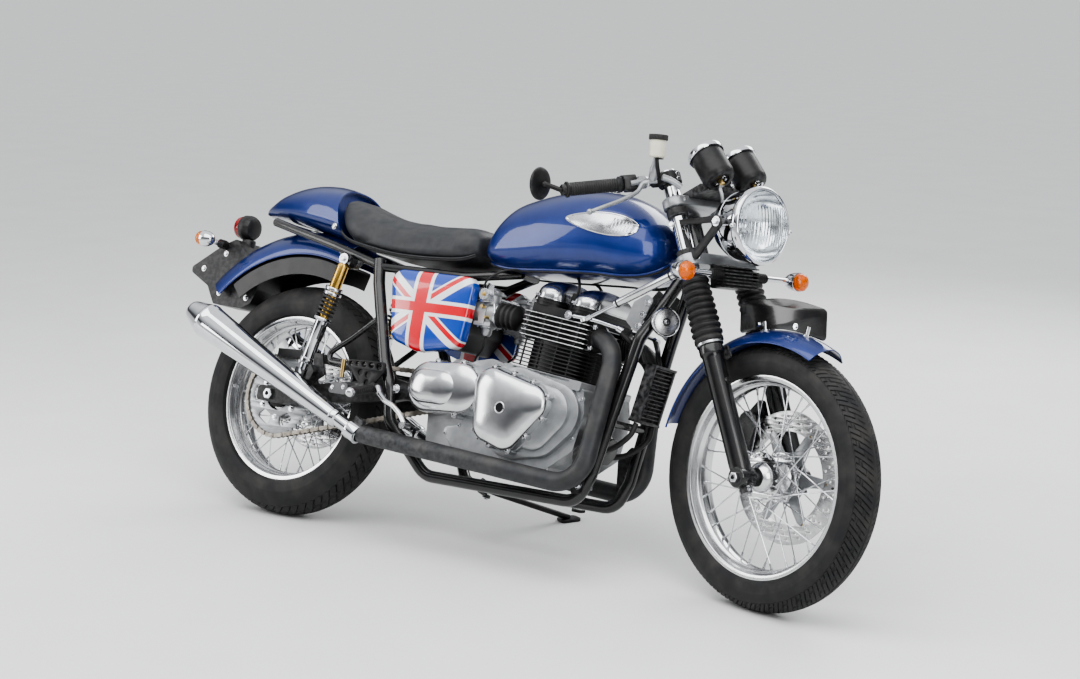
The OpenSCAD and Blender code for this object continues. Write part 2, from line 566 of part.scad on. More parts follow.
// Crossed spokes from both faces of each hub flange to the rim's well
module spokes(count, rim_r, hub_r, flange, cross_angle) {
    for (k = [0:count - 1]) {
        s = k % 2 == 0 ? 1 : -1;
        t = floor(k / 2) % 2 == 0 ? 1 : -1;
        a = 360 * k / count;
        b = a - t * cross_angle;
        bar([hub_r * cos(b), hub_r * sin(b), s * (flange + t * 4)],
            [(rim_r - 27) * cos(a), (rim_r - 27) * sin(a), s * 6], 1.6);
    }
}
front_rim_r = 242.5;
rear_rim_r = 230.5;
module front_tyre() color("#232425") on_steering() about_axle(front_axle_at)
    tyre(front_r, front_crown, front_rim_r, 39);
module front_rim() color("#c2c5c8") on_steering() about_axle(front_axle_at) rim(front_rim_r, 39);
module front_spokes() color("#c9ccce") on_steering() about_axle(front_axle_at)
    spokes(front_spoke_count, front_rim_r, 52, 32, 58);
module front_hub() color("#b9bcbf") on_steering() about_axle(front_axle_at) {
    rotate_extrude($fn = 96) polygon([[front_axle_r + bearing_gap, -52], [44, -52], [44, -36],
        [60, -34], [60, -30], [38, -30], [24, -12], [24, 12], [38, 30], [60, 30], [60, 34],
        [34, 36], [28, 52], [front_axle_r + bearing_gap, 52]]);
    translate([0, 0, -63]) difference() {
        cylinder(h = 5, r = 160, $fn = 128);
        translate([0, 0, -1]) cylinder(h = 7, r = 112, $fn = 96);
    }
    translate([0, 0, -58.5]) difference() {
        cylinder(h = 6.5, r = 60, $fn = 96);
        translate([0, 0, -1]) cylinder(h = 9, r = 24, $fn = 64);
    }
    for (i = [0:4]) rotate([0, 0, 72 * i]) translate([50, -16, -63]) cube([64, 32, 4.6]);
}
module rear_tyre() color("#262625") in_place() about_axle(rear_axle_at)
    tyre(rear_r, rear_crown, rear_rim_r, 51);
module rear_rim() color("#c2c5c8") in_place() about_axle(rear_axle_at) rim(rear_rim_r, 51);
module rear_spokes() color("#c9ccce") in_place() about_axle(rear_axle_at)
    spokes(rear_spoke_count, rear_rim_r, 60, 40, 50);
module rear_hub() color("#aeb1b4") in_place() about_axle(rear_axle_at) {
    rotate_extrude($fn = 96) polygon([[rear_axle_r + bearing_gap, -87], [127, -87], [127, -82],
        [62, -82], [62, -74], [36, -74], [36, -46], [68, -42], [68, -38], [48, -38], [44, -20],
        [44, 20], [48, 38], [68, 38], [68, 42], [60, 46], [60, 86], [98, 87], [98, 93],
        [rear_axle_r + bearing_gap, 93]]);
}
module rear_axle() color("#8f9295") in_place() about_axle(rear_axle_at) difference() {
    union() {
        cylinder(h = 290, r = rear_axle_r, center = true, $fn = 64);
        translate([0, 0, 94.5]) cylinder(h = 11.3, r = 17, $fn = 64);
        translate([0, 0, -105.8]) cylinder(h = 17.3, r = 17, $fn = 64);
        for (s = SIDES) translate([0, 0, s * 139]) cylinder(h = 9.6, r = 16, center = true, $fn = 64);
    }
    cylinder(h = 320, r = 6, center = true, $fn = 64);
}

// ---- side stand ----------------------------------------------------------------------------
stand_pin_r = 6;
stand_pivot = world([588, 134, 166]);
stand_foot = [690 + middle.x, 416 + middle.y, 9];
stand_open = unit(stand_foot - stand_pivot);
stand_shut = unit(world_dir([-0.97, 0.16, 0.06]));
stand_axis = unit(cross(stand_open, stand_shut));
stand_side = cross(stand_axis, stand_open);
module at_stand() {
    multmatrix([[stand_open.x, stand_side.x, stand_axis.x, stand_pivot.x],
        [stand_open.y, stand_side.y, stand_axis.y, stand_pivot.y],
        [stand_open.z, stand_side.z, stand_axis.z, stand_pivot.z], [0, 0, 0, 1]]) children();
}
stand_length = norm(stand_foot - stand_pivot);
module side_stand() color("#141517") difference() {
    union() {
        at_stand() cylinder(h = 14, r = 13, center = true, $fn = 64);
        at_stand() translate([8, 0, 0]) rotate([0, 90, 0])
            cylinder(h = stand_length - 8, r = 8, $fn = 48);
        translate([stand_foot.x, stand_foot.y, 0]) rotate([0, 0, 62])
            translate([-28, -22, 0]) cube([60, 44, 12]);
    }
    at_stand() cylinder(h = 40, r = stand_pin_r + bearing_gap, center = true, $fn = 64);
}

// ---- steering damper -----------------------------------------------------------------------
damper_pin = leg_point(0, -138, 519);
damper_eye = [976, -152, 621];
damper_pin_rest = steered(damper_pin);
damper_dir = unit(damper_eye - damper_pin_rest);
damper_length = norm(damper_eye - damper_pin_rest);
module damper_body() color("#1a1b1e") in_place() difference() {
    union() {
        bar(damper_pin_rest - steer_dir * 5, damper_pin_rest + steer_dir * 5, 11);
        bar(damper_pin_rest + damper_dir * 9, damper_pin_rest + damper_dir * 190, 10.5);
    }
    bar(damper_pin_rest + damper_dir * 34, damper_pin_rest + damper_dir * 200, 5.1);
}
module damper_rod() color("#c6c9cb") in_place() {
    bar(damper_pin_rest + damper_dir * 64, damper_pin_rest + damper_dir * (damper_length - 8), 5);
    bar(damper_eye - steer_dir * 5, damper_eye + steer_dir * 5, 9);
}

frame_spine();
frame_cradle();
seat_rails();
swingarm();
rear_axle();
rear_shocks();
shock_springs();
crankcase();
cylinder_block();
cylinder_head();
cam_cover();
engine_covers();
carburettors();
airbox();
exhaust_headers();
silencers();
oil_cooler();
fuel_tank();
fuel_cap();
seat();
seat_cowl();
side_panels();
rear_mudguard();
rear_inner_guard();
tail_bracket();
rear_lamps();
drive_chain();
footrests();
rear_caliper();
horn();
fork_yokes();
fork_stanchions();
fork_gaiters();
fork_sliders();
front_axle();
front_mudguard();
number_plate();
headlamp_shell();
headlamp_lens();
headlamp_brackets();
instruments();
regulator();
handlebars();
grips();
control_levers();
bar_end_mirrors();
front_indicators();
front_caliper();
front_tyre();
front_rim();
front_spokes();
front_hub();
rear_tyre();
rear_rim();
rear_spokes();
rear_hub();
side_stand();
damper_body();
damper_rod();
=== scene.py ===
# %% [markdown]
# # A cafe racer motorcycle, built piece by piece
#
# The real machine is a steel tube frame that holds an air-cooled twin-cylinder engine, two
# spoked wheels, a painted tank and a single seat. A working model of it already exists: plain
# solids of the right size, joined by real hinges. This lesson dresses that model.
#
# A motorcycle could be sculpted, but almost every piece of a real one is turned, bent, cast
# or pressed. So each piece here is made the way its metal is: a lathe for round things, a
# bent tube for pipes, a cut plate for brackets and a row of ribs for the painted shapes.

# %% Load the working model
from math import acos, asin, atan2, copysign, cos, degrees, floor, hypot, pi, radians, sin, tan

import bpy
import bmesh
import numpy as np
from mathutils import Matrix, Vector, noise
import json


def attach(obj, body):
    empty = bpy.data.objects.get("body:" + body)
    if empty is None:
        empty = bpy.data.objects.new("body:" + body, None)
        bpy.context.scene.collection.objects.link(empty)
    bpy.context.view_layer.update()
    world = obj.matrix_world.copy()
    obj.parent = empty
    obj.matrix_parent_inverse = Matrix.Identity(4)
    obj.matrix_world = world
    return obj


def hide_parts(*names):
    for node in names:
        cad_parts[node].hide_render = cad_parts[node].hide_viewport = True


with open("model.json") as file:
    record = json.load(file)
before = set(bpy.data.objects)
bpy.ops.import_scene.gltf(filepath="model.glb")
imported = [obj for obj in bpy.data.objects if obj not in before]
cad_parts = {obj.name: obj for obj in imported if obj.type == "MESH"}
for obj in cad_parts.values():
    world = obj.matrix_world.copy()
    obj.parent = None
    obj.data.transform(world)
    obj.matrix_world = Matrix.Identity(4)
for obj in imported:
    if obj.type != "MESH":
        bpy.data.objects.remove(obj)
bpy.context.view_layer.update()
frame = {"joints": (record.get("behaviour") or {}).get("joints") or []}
joints = {joint["name"]: joint for joint in frame["joints"]}

# %% [markdown]
# ## Where things are
#
# The machine leans on its side stand with the bars turned, so no tube is upright in the
# world. Drawing leaning parts is hard. It is easier to draw everything upright, in
# millimetres, the way a workshop drawing does, and to lean it afterwards with one matrix.
# The wheel and steering hinges of the working model say exactly what that matrix is.

# %% Upright and steered frames
MM = 0.001
WHEELBASE = 1484
RAKE = radians(26)
FRONT_RADIUS = 318.5
REAR_RADIUS = 320
FORK_OFFSET = 52
LEG_Y = 95.5
PARKED_TURN = radians(-17)
SIDES = (-1, 1)

left = Vector(joints["rear_wheel_spin"]["axis"])
head_dir = Vector(joints["steering"]["axis"])
head_point = Vector(joints["steering"]["pos_m"])
across = left.cross(head_dir)
forward = cos(RAKE) * across - sin(RAKE) * head_dir
upward = cos(RAKE) * head_dir + sin(RAKE) * across
ground = Vector(joints["rear_wheel_spin"]["pos_m"]) - upward * REAR_RADIUS * MM

UPRIGHT = (Matrix.Translation(ground) @ Matrix((forward, left, upward)).transposed().to_4x4()
           @ Matrix.Scale(MM, 4))
STEERED = (Matrix.Translation(head_point) @ Matrix.Rotation(PARKED_TURN, 4, head_dir)
           @ Matrix.Translation(-head_point) @ UPRIGHT)

REAR_AXLE = Vector((0, 0, REAR_RADIUS))
FRONT_AXLE = Vector((WHEELBASE, 0, FRONT_RADIUS))
STEER_DIR = Vector((-sin(RAKE), 0, cos(RAKE)))
LEG_FORWARD = Vector((cos(RAKE), 0, sin(RAKE)))
STEER_FOOT = FRONT_AXLE - FORK_OFFSET * LEG_FORWARD


# %% Places on the machine
def leg_point(ahead, y, up):
    """A point beside the fork: ahead of the legs, out to one side, and up along them."""
    return FRONT_AXLE + up * STEER_DIR + ahead * LEG_FORWARD + Vector((0, y, 0))


def around_axle(at):
    """Local X forwards, local Y up, local Z out of the wheel's right side."""
    return Matrix.Translation(at) @ Matrix.Rotation(pi / 2, 4, "X")


def shift(x, y, z):
    return Matrix.Translation((x, y, z))


def turn_by(angle, axis):
    return Matrix.Rotation(radians(angle), 4, axis)


def polar(r, angle):
    return (r * cos(angle), r * sin(angle))


def along_leg(y):
    """Local Z up the fork leg from the axle, local X forwards."""
    return Matrix.Translation(FRONT_AXLE + Vector((0, y, 0))) @ Matrix.Rotation(-RAKE, 4, "Y")


def facing(at, direction, upwards=(0, 0, 1)):
    """Local Z points along a direction, and local Y as nearly upwards as it can."""
    z = Vector(direction).normalized()
    x = Vector(upwards).cross(z)
    if x.length < 1e-6:
        x = Vector((1, 0, 0))
    x.normalize()
    return Matrix.Translation(at) @ Matrix((x, z.cross(x), z)).transposed().to_4x4()


def mirrored(points):
    return [Vector((p[0], -p[1], p[2])) for p in points]


print("lean", round(degrees(asin(left.z)), 1), "degrees")

# %% [markdown]
# ## A small workshop
#
# Each helper returns points and faces, as a workshop would hand back a blank. A Shape collects
# blanks, remembers which finish each has, and becomes one Blender object at the end. Meshes
# made this way stay light and exact, and need no clean-up as a chain of modifiers might.

# %% The Shape class
class Shape:
    """Collects points and faces in upright millimetres, then makes one object of them."""

    def __init__(self, base=UPRIGHT):
        self.base = base
        self.points = []
        self.faces = []
        self.finish_of = []
        self.finishes = []

    def add(self, blank, finish, at=None):
        points, faces = blank
        if finish not in self.finishes:
            self.finishes.append(finish)
        index = self.finishes.index(finish)
        start = len(self.points)
        place = at if at is not None else Matrix.Identity(4)
        self.points += [place @ Vector(p) for p in points]
        self.faces += [[start + i for i in face] for face in faces]
        self.finish_of += [index] * len(faces)
        return self

    def both(self, blank, finish, at=None):
        """Adds a blank on the left and its mirror image on the right."""
        self.add(blank, finish, at)
        place = at if at is not None else Matrix.Identity(4)
        points = mirrored([place @ Vector(p) for p in blank[0]])
        self.add((points, [list(reversed(face)) for face in blank[1]]), finish)
        return self

    def make(self, name, body, replaces=(), slot=None, round_edges=0.6, crease=32, segments=2):
        mesh = bpy.data.meshes.new(name)
        mesh.from_pydata([self.base @ p for p in self.points], [], self.faces)
        for finish in self.finishes:
            mesh.materials.append(finish)
        mesh.polygons.foreach_set("material_index", self.finish_of)
        mesh.polygons.foreach_set("use_smooth", [True] * len(mesh.polygons))
        built = bmesh.new()
        built.from_mesh(mesh)
        bmesh.ops.remove_doubles(built, verts=built.verts, dist=0.02 * MM)
        bmesh.ops.recalc_face_normals(built, faces=built.faces)
        built.to_mesh(mesh)
        built.free()
        mesh.set_sharp_from_angle(angle=radians(crease))
        piece = bpy.data.objects.new(name, mesh)
        bpy.context.scene.collection.objects.link(piece)
        if round_edges:
            bevel = piece.modifiers.new("rounded edges", "BEVEL")
            bevel.width = round_edges * MM
            bevel.segments = segments
            bevel.limit_method = "ANGLE"
            bevel.angle_limit = radians(crease)
            bevel.harden_normals = True
        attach(piece, body)
        if replaces:
            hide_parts(*replaces)
        print(f"{name}: {len(mesh.polygons)} faces")
        return piece


# %% Turned, swept and lofted blanks
def turned(profile, steps=64, start=0.0, sweep=360.0):
    """A lathe blank about local Z from (radius, height) pairs."""
    full = abs(sweep - 360) < 1e-6
    rings = steps if full else steps + 1
    points = []
    for i in range(rings):
        angle = radians(start + sweep * i / steps)
        points += [(r * cos(angle), r * sin(angle), z) for r, z in profile]
    n = len(profile)
    faces = []
    for i in range(steps):
        a, b = i * n, (i + 1) % rings * n
        faces += [[a + j, b + j, b + j + 1, a + j + 1] for j in range(n - 1)]
    return points, faces


def ring_of(profile):
    """Closes a lathe profile, so that it turns into a solid ring."""
    return list(profile) + [profile[0]]


# %% Bent and smooth paths
def rounded_path(corners, bend, step=12):
    """Replaces each corner of a path by an arc, as a tube bender does."""
    corners = [Vector(c) for c in corners]
    path = [corners[0]]
    for before, corner, after in zip(corners, corners[1:], corners[2:]):
        u = (corner - before).normalized()
        v = (after - corner).normalized()
        turn = u.angle(v)
        if turn < 0.02:
            path.append(corner)
            continue
        reach = bend * tan(turn / 2)
        centre = corner + (v - u).normalized() * bend / cos(turn / 2)
        out = corner - u * reach - centre
        axis = u.cross(v).normalized()
        count = max(3, int(degrees(turn) / step))
        path += [centre + Matrix.Rotation(turn * i / count, 3, axis) @ out for i in range(count + 1)]
    path.append(corners[-1])
    return path


def smooth_path(corners, steps=8):
    """A flowing curve through the points, for cables and hoses."""
    pts = [Vector(c) for c in corners]
    pts = [2 * pts[0] - pts[1]] + pts + [2 * pts[-1] - pts[-2]]
    path = []
    for a, b, c, d in zip(pts, pts[1:], pts[2:], pts[3:]):
        for i in range(steps):
            t = i / steps
            path.append(0.5 * (2 * b + (c - a) * t + (2 * a - 5 * b + 4 * c - d) * t * t
                               + (3 * b - a - 3 * c + d) * t ** 3))
    path.append(pts[-2])
    return path


# %% Tubes, lofts and simple solids
def swept(path, radius, sides=24, caps=True):
    """A round section carried along a path without twisting. A list of radii is spread along it."""
    path = [Vector(p) for p in path]
    given = radius if isinstance(radius, (list, tuple)) else [radius, radius]
    radii = np.interp(np.linspace(0, 1, len(path)), np.linspace(0, 1, len(given)), given)
    tangents = [(path[min(i + 1, len(path) - 1)] - path[max(i - 1, 0)]).normalized()
                for i in range(len(path))]
    side = tangents[0].orthogonal().normalized()
    points, faces = [], []
    for p, t, r in zip(path, tangents, radii):
        side = (side - t * side.dot(t)).normalized()
        up = t.cross(side)
        points += [p + float(r) * (cos(a) * side + sin(a) * up)
                   for a in (2 * pi * k / sides for k in range(sides))]
    for i in range(len(path) - 1):
        a, b = i * sides, (i + 1) * sides
        faces += [[a + k, a + (k + 1) % sides, b + (k + 1) % sides, b + k] for k in range(sides)]
    if caps:
        faces.append(list(reversed(range(sides))))
        faces.append([len(points) - sides + k for k in range(sides)])
    return points, faces


def rod(a, b, r, sides=24):
    return swept([Vector(a), Vector(b)], r, sides)


def lofted(rings, caps=True):
    """A skin over rings that all have the same count of points."""
    n = len(rings[0])
    points = [p for ring in rings for p in ring]
    faces = [[i * n + j, i * n + (j + 1) % n, (i + 1) * n + (j + 1) % n, (i + 1) * n + j]
             for i in range(len(rings) - 1) for j in range(n)]
    if caps:
        faces.append(list(reversed(range(n))))
        faces.append([len(points) - n + j for j in range(n)])
    return points, faces


def ball(centre, r, steps=24):
    profile = [(max(r * sin(pi * i / 12), 0.001), -r * cos(pi * i / 12))
               for i in range(13)]
    points, faces = turned(profile, steps)
    return [Vector(p) + Vector(centre) for p in points], faces


def block(low, high):
    xs, ys, zs = zip(low, high)
    points = [(x, y, z) for x in xs for y in ys for z in zs]
    return points, [[0, 1, 3, 2], [4, 6, 7, 5], [0, 4, 5, 1], [2, 3, 7, 6], [0, 2, 6, 4], [1, 5, 7, 3]]


# %% Plates and bolts
def slab(outline, y, thick):
    """An outline of (x, z) pairs, cut from sheet of one thickness and centred on y."""
    n = len(outline)
    points = [(x, y - thick / 2, z) for x, z in outline] + [(x, y + thick / 2, z) for x, z in outline]
    faces = [list(range(n)), [n + i for i in reversed(range(n))]]
    faces += [[i, n + i, n + (i + 1) % n, (i + 1) % n] for i in range(n)]
    return points, faces


def bolt(at, direction, r=5.5, height=5):
    """A domed hexagon head with its washer, standing on a face."""
    place = facing(at, direction)
    washer = turned([(0.01, 0), (r * 1.35, 0), (r * 1.35, 1.2), (0.01, 1.2)], 20)
    profile = [(r, 1.2), (r, height * 0.8), (r * 0.8, height), (0.01, height)]
    head = turned(profile, 6)
    points = [place @ Vector(p) for p in washer[0] + head[0]]
    start = len(washer[0])
    return points, washer[1] + [[start + i for i in face] for face in head[1]]


# %% Outlines with holes
def circle(centre, r, steps=32, start=0.0):
    return [(centre[0] + r * cos(start + 2 * pi * i / steps),
             centre[1] + r * sin(start + 2 * pi * i / steps)) for i in range(steps)]


def round_outline(corners, r, steps=6):
    """Rounds the corners of a flat outline. r may be one number or one for each corner."""
    count = len(corners)
    radii = r if isinstance(r, (list, tuple)) else [r] * count
    result = []
    for i in range(count):
        p = Vector(corners[i])
        u = (p - Vector(corners[i - 1])).normalized()
        v = (Vector(corners[(i + 1) % count]) - p).normalized()
        turn = u.angle(v)
        if turn < 0.02:
            result.append(tuple(p))
            continue
        reach = radii[i] * tan(turn / 2)
        centre = p + (v - u).normalized() * radii[i] / cos(turn / 2)
        begin = p - u * reach - centre
        spin = turn if u.x * v.y - u.y * v.x > 0 else -turn
        for k in range(steps + 1):
            a = spin * k / steps
            result.append((centre.x + begin.x * cos(a) - begin.y * sin(a),
                           centre.y + begin.x * sin(a) + begin.y * cos(a)))
    return result


def flat_plate(corners, r, y, thick, steps=6):
    """A flat plate standing fore and aft, its outline rounded at every corner."""
    return slab(round_outline(corners, r, steps), y, thick)


def drilled(outlines, thick, edge=0.5):
    """A flat plate in local XY with holes: the first outline is its edge, the rest are holes."""
    flat = bpy.data.curves.new("outline", "CURVE")
    flat.dimensions = "2D"
    flat.fill_mode = "BOTH"
    flat.extrude = thick / 2 - edge
    flat.bevel_depth = edge
    flat.bevel_resolution = 1
    flat.offset = -edge
    for outline in outlines:
        spline = flat.splines.new("POLY")
        spline.points.add(len(outline) - 1)
        for point, (x, y) in zip(spline.points, outline):
            point.co = (x, y, 0, 1)
        spline.use_cyclic_u = True
    holder = bpy.data.objects.new("outline", flat)
    mesh = bpy.data.meshes.new_from_object(holder)
    points = [v.co.copy() for v in mesh.vertices]
    faces = [list(p.vertices) for p in mesh.polygons]
    bpy.data.objects.remove(holder)
    bpy.data.curves.remove(flat)
    bpy.data.meshes.remove(mesh)
    return points, faces


def moved(blank, place):
    return [place @ Vector(p) for p in blank[0]], blank[1]


print("workshop ready")
# %% [markdown]
# ## Finishes
#
# A motorcycle is mostly a meeting of finishes: lacquer, chrome, polished and sand-cast alloy,
# satin coating and rubber. What they share is kept in four small node groups, for worn edges,
# handling marks, cast grain and road dust. Each finish then sets its own strengths.

# %% Shader node helpers
def new_group(name, inputs, outputs):
    group = bpy.data.node_groups.new(name, "ShaderNodeTree")
    for label, default in inputs:
        socket = group.interface.new_socket(label, in_out="INPUT", socket_type="NodeSocketFloat")
        socket.default_value = default
    for label, kind in outputs:
        group.interface.new_socket(label, in_out="OUTPUT", socket_type=kind)
    return group, group.nodes.new("NodeGroupInput"), group.nodes.new("NodeGroupOutput")


def node(tree, kind, **settings):
    made = tree.nodes.new("ShaderNode" + kind)
    for key, value in settings.items():
        if key in made.bl_rna.properties:
            setattr(made, key, value)
        else:
            made.inputs[key.replace("_", " ")].default_value = value
    return made


def math_node(tree, operation, a, b=None):
    made = tree.nodes.new("ShaderNodeMath")
    made.operation = operation
    for socket, value in zip(made.inputs, (a, b)):
        if value is None:
            continue
        if isinstance(value, (int, float)):
            socket.default_value = value
        else:
            tree.links.new(value, socket)
    return made.outputs[0]


def span(tree, value, from_low, from_high, to_low=0.0, to_high=1.0):
    made = tree.nodes.new("ShaderNodeMapRange")
    for socket, number in zip(made.inputs[1:5], (from_low, from_high, to_low, to_high)):
        socket.default_value = number
    tree.links.new(value, made.inputs[0])
    return made.outputs[0]


def noise_at(tree, scale, detail=4.0, stretch=None):
    where = tree.nodes.new("ShaderNodeTexCoord").outputs["Object"]
    if stretch:
        mapping = tree.nodes.new("ShaderNodeMapping")
        mapping.inputs["Scale"].default_value = stretch
        tree.links.new(where, mapping.inputs["Vector"])
        where = mapping.outputs[0]
    made = tree.nodes.new("ShaderNodeTexNoise")
    made.inputs["Detail"].default_value = detail
    tree.links.new(where, made.inputs["Vector"])
    if isinstance(scale, (int, float)):
        made.inputs["Scale"].default_value = scale
    else:
        tree.links.new(scale, made.inputs["Scale"])
    return made.outputs[0]


# %% Four shared groups
def worn_edges_group():
    """White where an outside edge has rubbed through."""
    tree, given, out = new_group("worn edges", [("Amount", 0.3)], [("Mask", "NodeSocketFloat")])
    pointed = tree.nodes.new("ShaderNodeNewGeometry").outputs["Pointiness"]
    edge = span(tree, pointed, 0.53, 0.62)
    patchy = math_node(tree, "MULTIPLY", edge, span(tree, noise_at(tree, 90.0), 0.4, 0.62))
    tree.links.new(math_node(tree, "MULTIPLY", patchy, given.outputs["Amount"]), out.inputs["Mask"])
    return tree


def handling_marks_group():
    """A roughness that wanders: wiped smears with finer scratches over them."""
    tree, given, out = new_group("handling marks", [("Base", 0.2), ("Range", 0.1)],
                                 [("Roughness", "NodeSocketFloat")])
    smear = noise_at(tree, 14.0, 5.0)
    scratch = noise_at(tree, 60.0, 8.0, (1.0, 1.0, 14.0))
    both = math_node(tree, "ADD", math_node(tree, "MULTIPLY", smear, 0.65),
                     math_node(tree, "MULTIPLY", scratch, 0.35))
    swing = math_node(tree, "MULTIPLY", math_node(tree, "SUBTRACT", both, 0.5), given.outputs["Range"])
    tree.links.new(math_node(tree, "ADD", given.outputs["Base"], swing), out.inputs["Roughness"])
    return tree


def grain_group():
    """The dimples of sand-cast metal, powder coat or moulded rubber, as a bent normal."""
    tree, given, out = new_group("cast grain", [("Scale", 900.0), ("Depth", 0.1)],
                                 [("Normal", "NodeSocketVector"), ("Height", "NodeSocketFloat")])
    height = noise_at(tree, given.outputs["Scale"], 3.0)
    bump = tree.nodes.new("ShaderNodeBump")
    bump.inputs["Distance"].default_value = 0.0006
    tree.links.new(given.outputs["Depth"], bump.inputs["Strength"])
    tree.links.new(height, bump.inputs["Height"])
    tree.links.new(bump.outputs[0], out.inputs["Normal"])
    tree.links.new(height, out.inputs["Height"])
    return tree


def road_dust_group():
    """Fine dust that settles in soft patches, more of it on faces that look up."""
    tree, given, out = new_group("road dust", [("Amount", 0.3)], [("Mask", "NodeSocketFloat")])
    normal = tree.nodes.new("ShaderNodeNewGeometry").outputs["Normal"]
    split = tree.nodes.new("ShaderNodeSeparateXYZ")
    tree.links.new(normal, split.inputs[0])
    up = span(tree, split.outputs["Z"], -0.4, 1.0, 0.3, 1.0)
    patch = span(tree, noise_at(tree, 22.0, 6.0), 0.38, 0.7)
    spread = math_node(tree, "MULTIPLY", up, patch)
    tree.links.new(math_node(tree, "MULTIPLY", spread, given.outputs["Amount"]), out.inputs["Mask"])
    return tree


WORN_EDGES = worn_edges_group()
HANDLING = handling_marks_group()
GRAIN = grain_group()
ROAD_DUST = road_dust_group()
print("shared groups:", len(bpy.data.node_groups))


# %% A finish from its numbers
DUST_COLOUR = (0.30, 0.27, 0.23, 1)


def use_group(tree, group, **values):
    made = tree.nodes.new("ShaderNodeGroup")
    made.node_tree = group
    for key, value in values.items():
        made.inputs[key].default_value = value
    return made


def mix_colour(tree, factor, a, b):
    made = tree.nodes.new("ShaderNodeMix")
    made.data_type = "RGBA"
    tree.links.new(factor, made.inputs[0])
    for socket, value in ((made.inputs[6], a), (made.inputs[7], b)):
        if isinstance(value, tuple):
            socket.default_value = value
        else:
            tree.links.new(value, socket)
    return made.outputs[2]


def finish(name, low, high, base, swing, metallic=0.0, grain=(900, 0.0), dust=0.15, wear=0.0,
           bare=(0.45, 0.45, 0.46), patch=35.0, **fixed):
    """One finish: two close colours in patches, then wear and dust over them."""
    material = bpy.data.materials.new(name)
    material.use_nodes = True
    tree = material.node_tree
    shader = tree.nodes["Principled BSDF"]
    colour = mix_colour(tree, span(tree, noise_at(tree, patch, 5.0), 0.3, 0.7), (*low, 1), (*high, 1))
    if wear:
        rubbed = use_group(tree, WORN_EDGES, Amount=wear)
        colour = mix_colour(tree, rubbed.outputs[0], colour, (*bare, 1))
    if dust:
        settled = use_group(tree, ROAD_DUST, Amount=dust)
        colour = mix_colour(tree, settled.outputs[0], colour, DUST_COLOUR)
    tree.links.new(colour, shader.inputs["Base Color"])
    marks = use_group(tree, HANDLING, Base=base, Range=swing)
    tree.links.new(marks.outputs[0], shader.inputs["Roughness"])
    if grain[1]:
        rough = use_group(tree, GRAIN, Scale=grain[0], Depth=grain[1])
        tree.links.new(rough.outputs["Normal"], shader.inputs["Normal"])
    shader.inputs["Metallic"].default_value = metallic
    for key, value in fixed.items():
        shader.inputs[key.replace("_", " ")].default_value = value
    return material


# %% [markdown]
# The paint is a coloured base under clear lacquer. Facing the eye it is a deep blue, and it is
# painted darker as it turns away: a Layer Weight node picks between two blues in the material,
# and the darker blue is painted shade on the rounded sides.

# %% Paint and lacquer
def tank_paint_with_edge_shade():
    material = finish("blue lacquer with painted edge shade", (0.004, 0.024, 0.17), (0.006, 0.030, 0.20), 0.30, 0.10,
                      metallic=0.25, grain=(420, 0.02), dust=0.01, Coat_Weight=0.8,
                      Coat_Roughness=0.03, Coat_IOR=1.45, Specular_IOR_Level=0.35)
    tree = material.node_tree
    shader = tree.nodes["Principled BSDF"]
    flat = shader.inputs["Base Color"].links[0].from_socket
    # Painted shade: the blue is mixed towards near-black where the surface turns away from the eye.
    turn = node(tree, "LayerWeight", Blend=0.35)
    deep = mix_colour(tree, turn.outputs["Facing"], flat, (0.002, 0.007, 0.050, 1))
    tree.links.new(deep, shader.inputs["Base Color"])
    return material


BLUE = tank_paint_with_edge_shade()
GLOSS_BLACK = finish("gloss black enamel", (0.004, 0.004, 0.005), (0.008, 0.008, 0.009), 0.22, 0.14,
                     grain=(500, 0.03), dust=0.04, wear=0.2, Coat_Weight=0.4, Coat_Roughness=0.06,
                     Specular_IOR_Level=0.4)
SATIN_BLACK = finish("satin black coating", (0.005, 0.005, 0.006), (0.010, 0.010, 0.011), 0.40, 0.16,
                     grain=(1400, 0.10), dust=0.05, wear=0.3, Specular_IOR_Level=0.32)

# %% Metals
CHROME = finish("chrome plate", (0.62, 0.63, 0.65), (0.68, 0.69, 0.71), 0.06, 0.08, metallic=1.0,
                dust=0.03)
POLISHED = finish("polished alloy", (0.56, 0.57, 0.58), (0.66, 0.66, 0.67), 0.20, 0.16, metallic=1.0,
                  grain=(260, 0.02), dust=0.06)
CAST = finish("sand-cast alloy", (0.40, 0.41, 0.42), (0.52, 0.53, 0.54), 0.48, 0.18, metallic=0.9,
              grain=(1100, 0.35), dust=0.18)
SILVER = finish("silver paint on cast alloy", (0.27, 0.28, 0.292), (0.36, 0.37, 0.382), 0.36, 0.16,
                metallic=0.7, grain=(1200, 0.16), dust=0.10, wear=0.3, Coat_Weight=0.3)
STEEL = finish("bright plated steel", (0.55, 0.56, 0.58), (0.68, 0.69, 0.71), 0.22, 0.2,
               metallic=1.0, grain=(1500, 0.05), dust=0.10)
DISC_STEEL = finish("swept disc steel", (0.46, 0.46, 0.47), (0.6, 0.6, 0.6), 0.28, 0.2,
                    metallic=1.0, grain=(700, 0.08), dust=0.05, patch=120.0)
GOLD = finish("gold anodised alloy", (0.55, 0.34, 0.08), (0.66, 0.42, 0.12), 0.25, 0.12,
              metallic=1.0, dust=0.05)
FIN_BLACK = finish("black cylinder coating", (0.006, 0.006, 0.007), (0.012, 0.012, 0.013), 0.42, 0.16,
                   grain=(1300, 0.16), dust=0.05, Specular_IOR_Level=0.35)
FIN_EDGE = finish("machined fin edge", (0.66, 0.67, 0.68), (0.76, 0.76, 0.77), 0.28, 0.15,
                  metallic=1.0, grain=(1600, 0.06), dust=0.06)
EXHAUST = finish("matt heat-proof coating", (0.020, 0.022, 0.024), (0.032, 0.034, 0.038), 0.48, 0.18,
                 metallic=0.3, grain=(1500, 0.14), dust=0.14, wear=0.2)
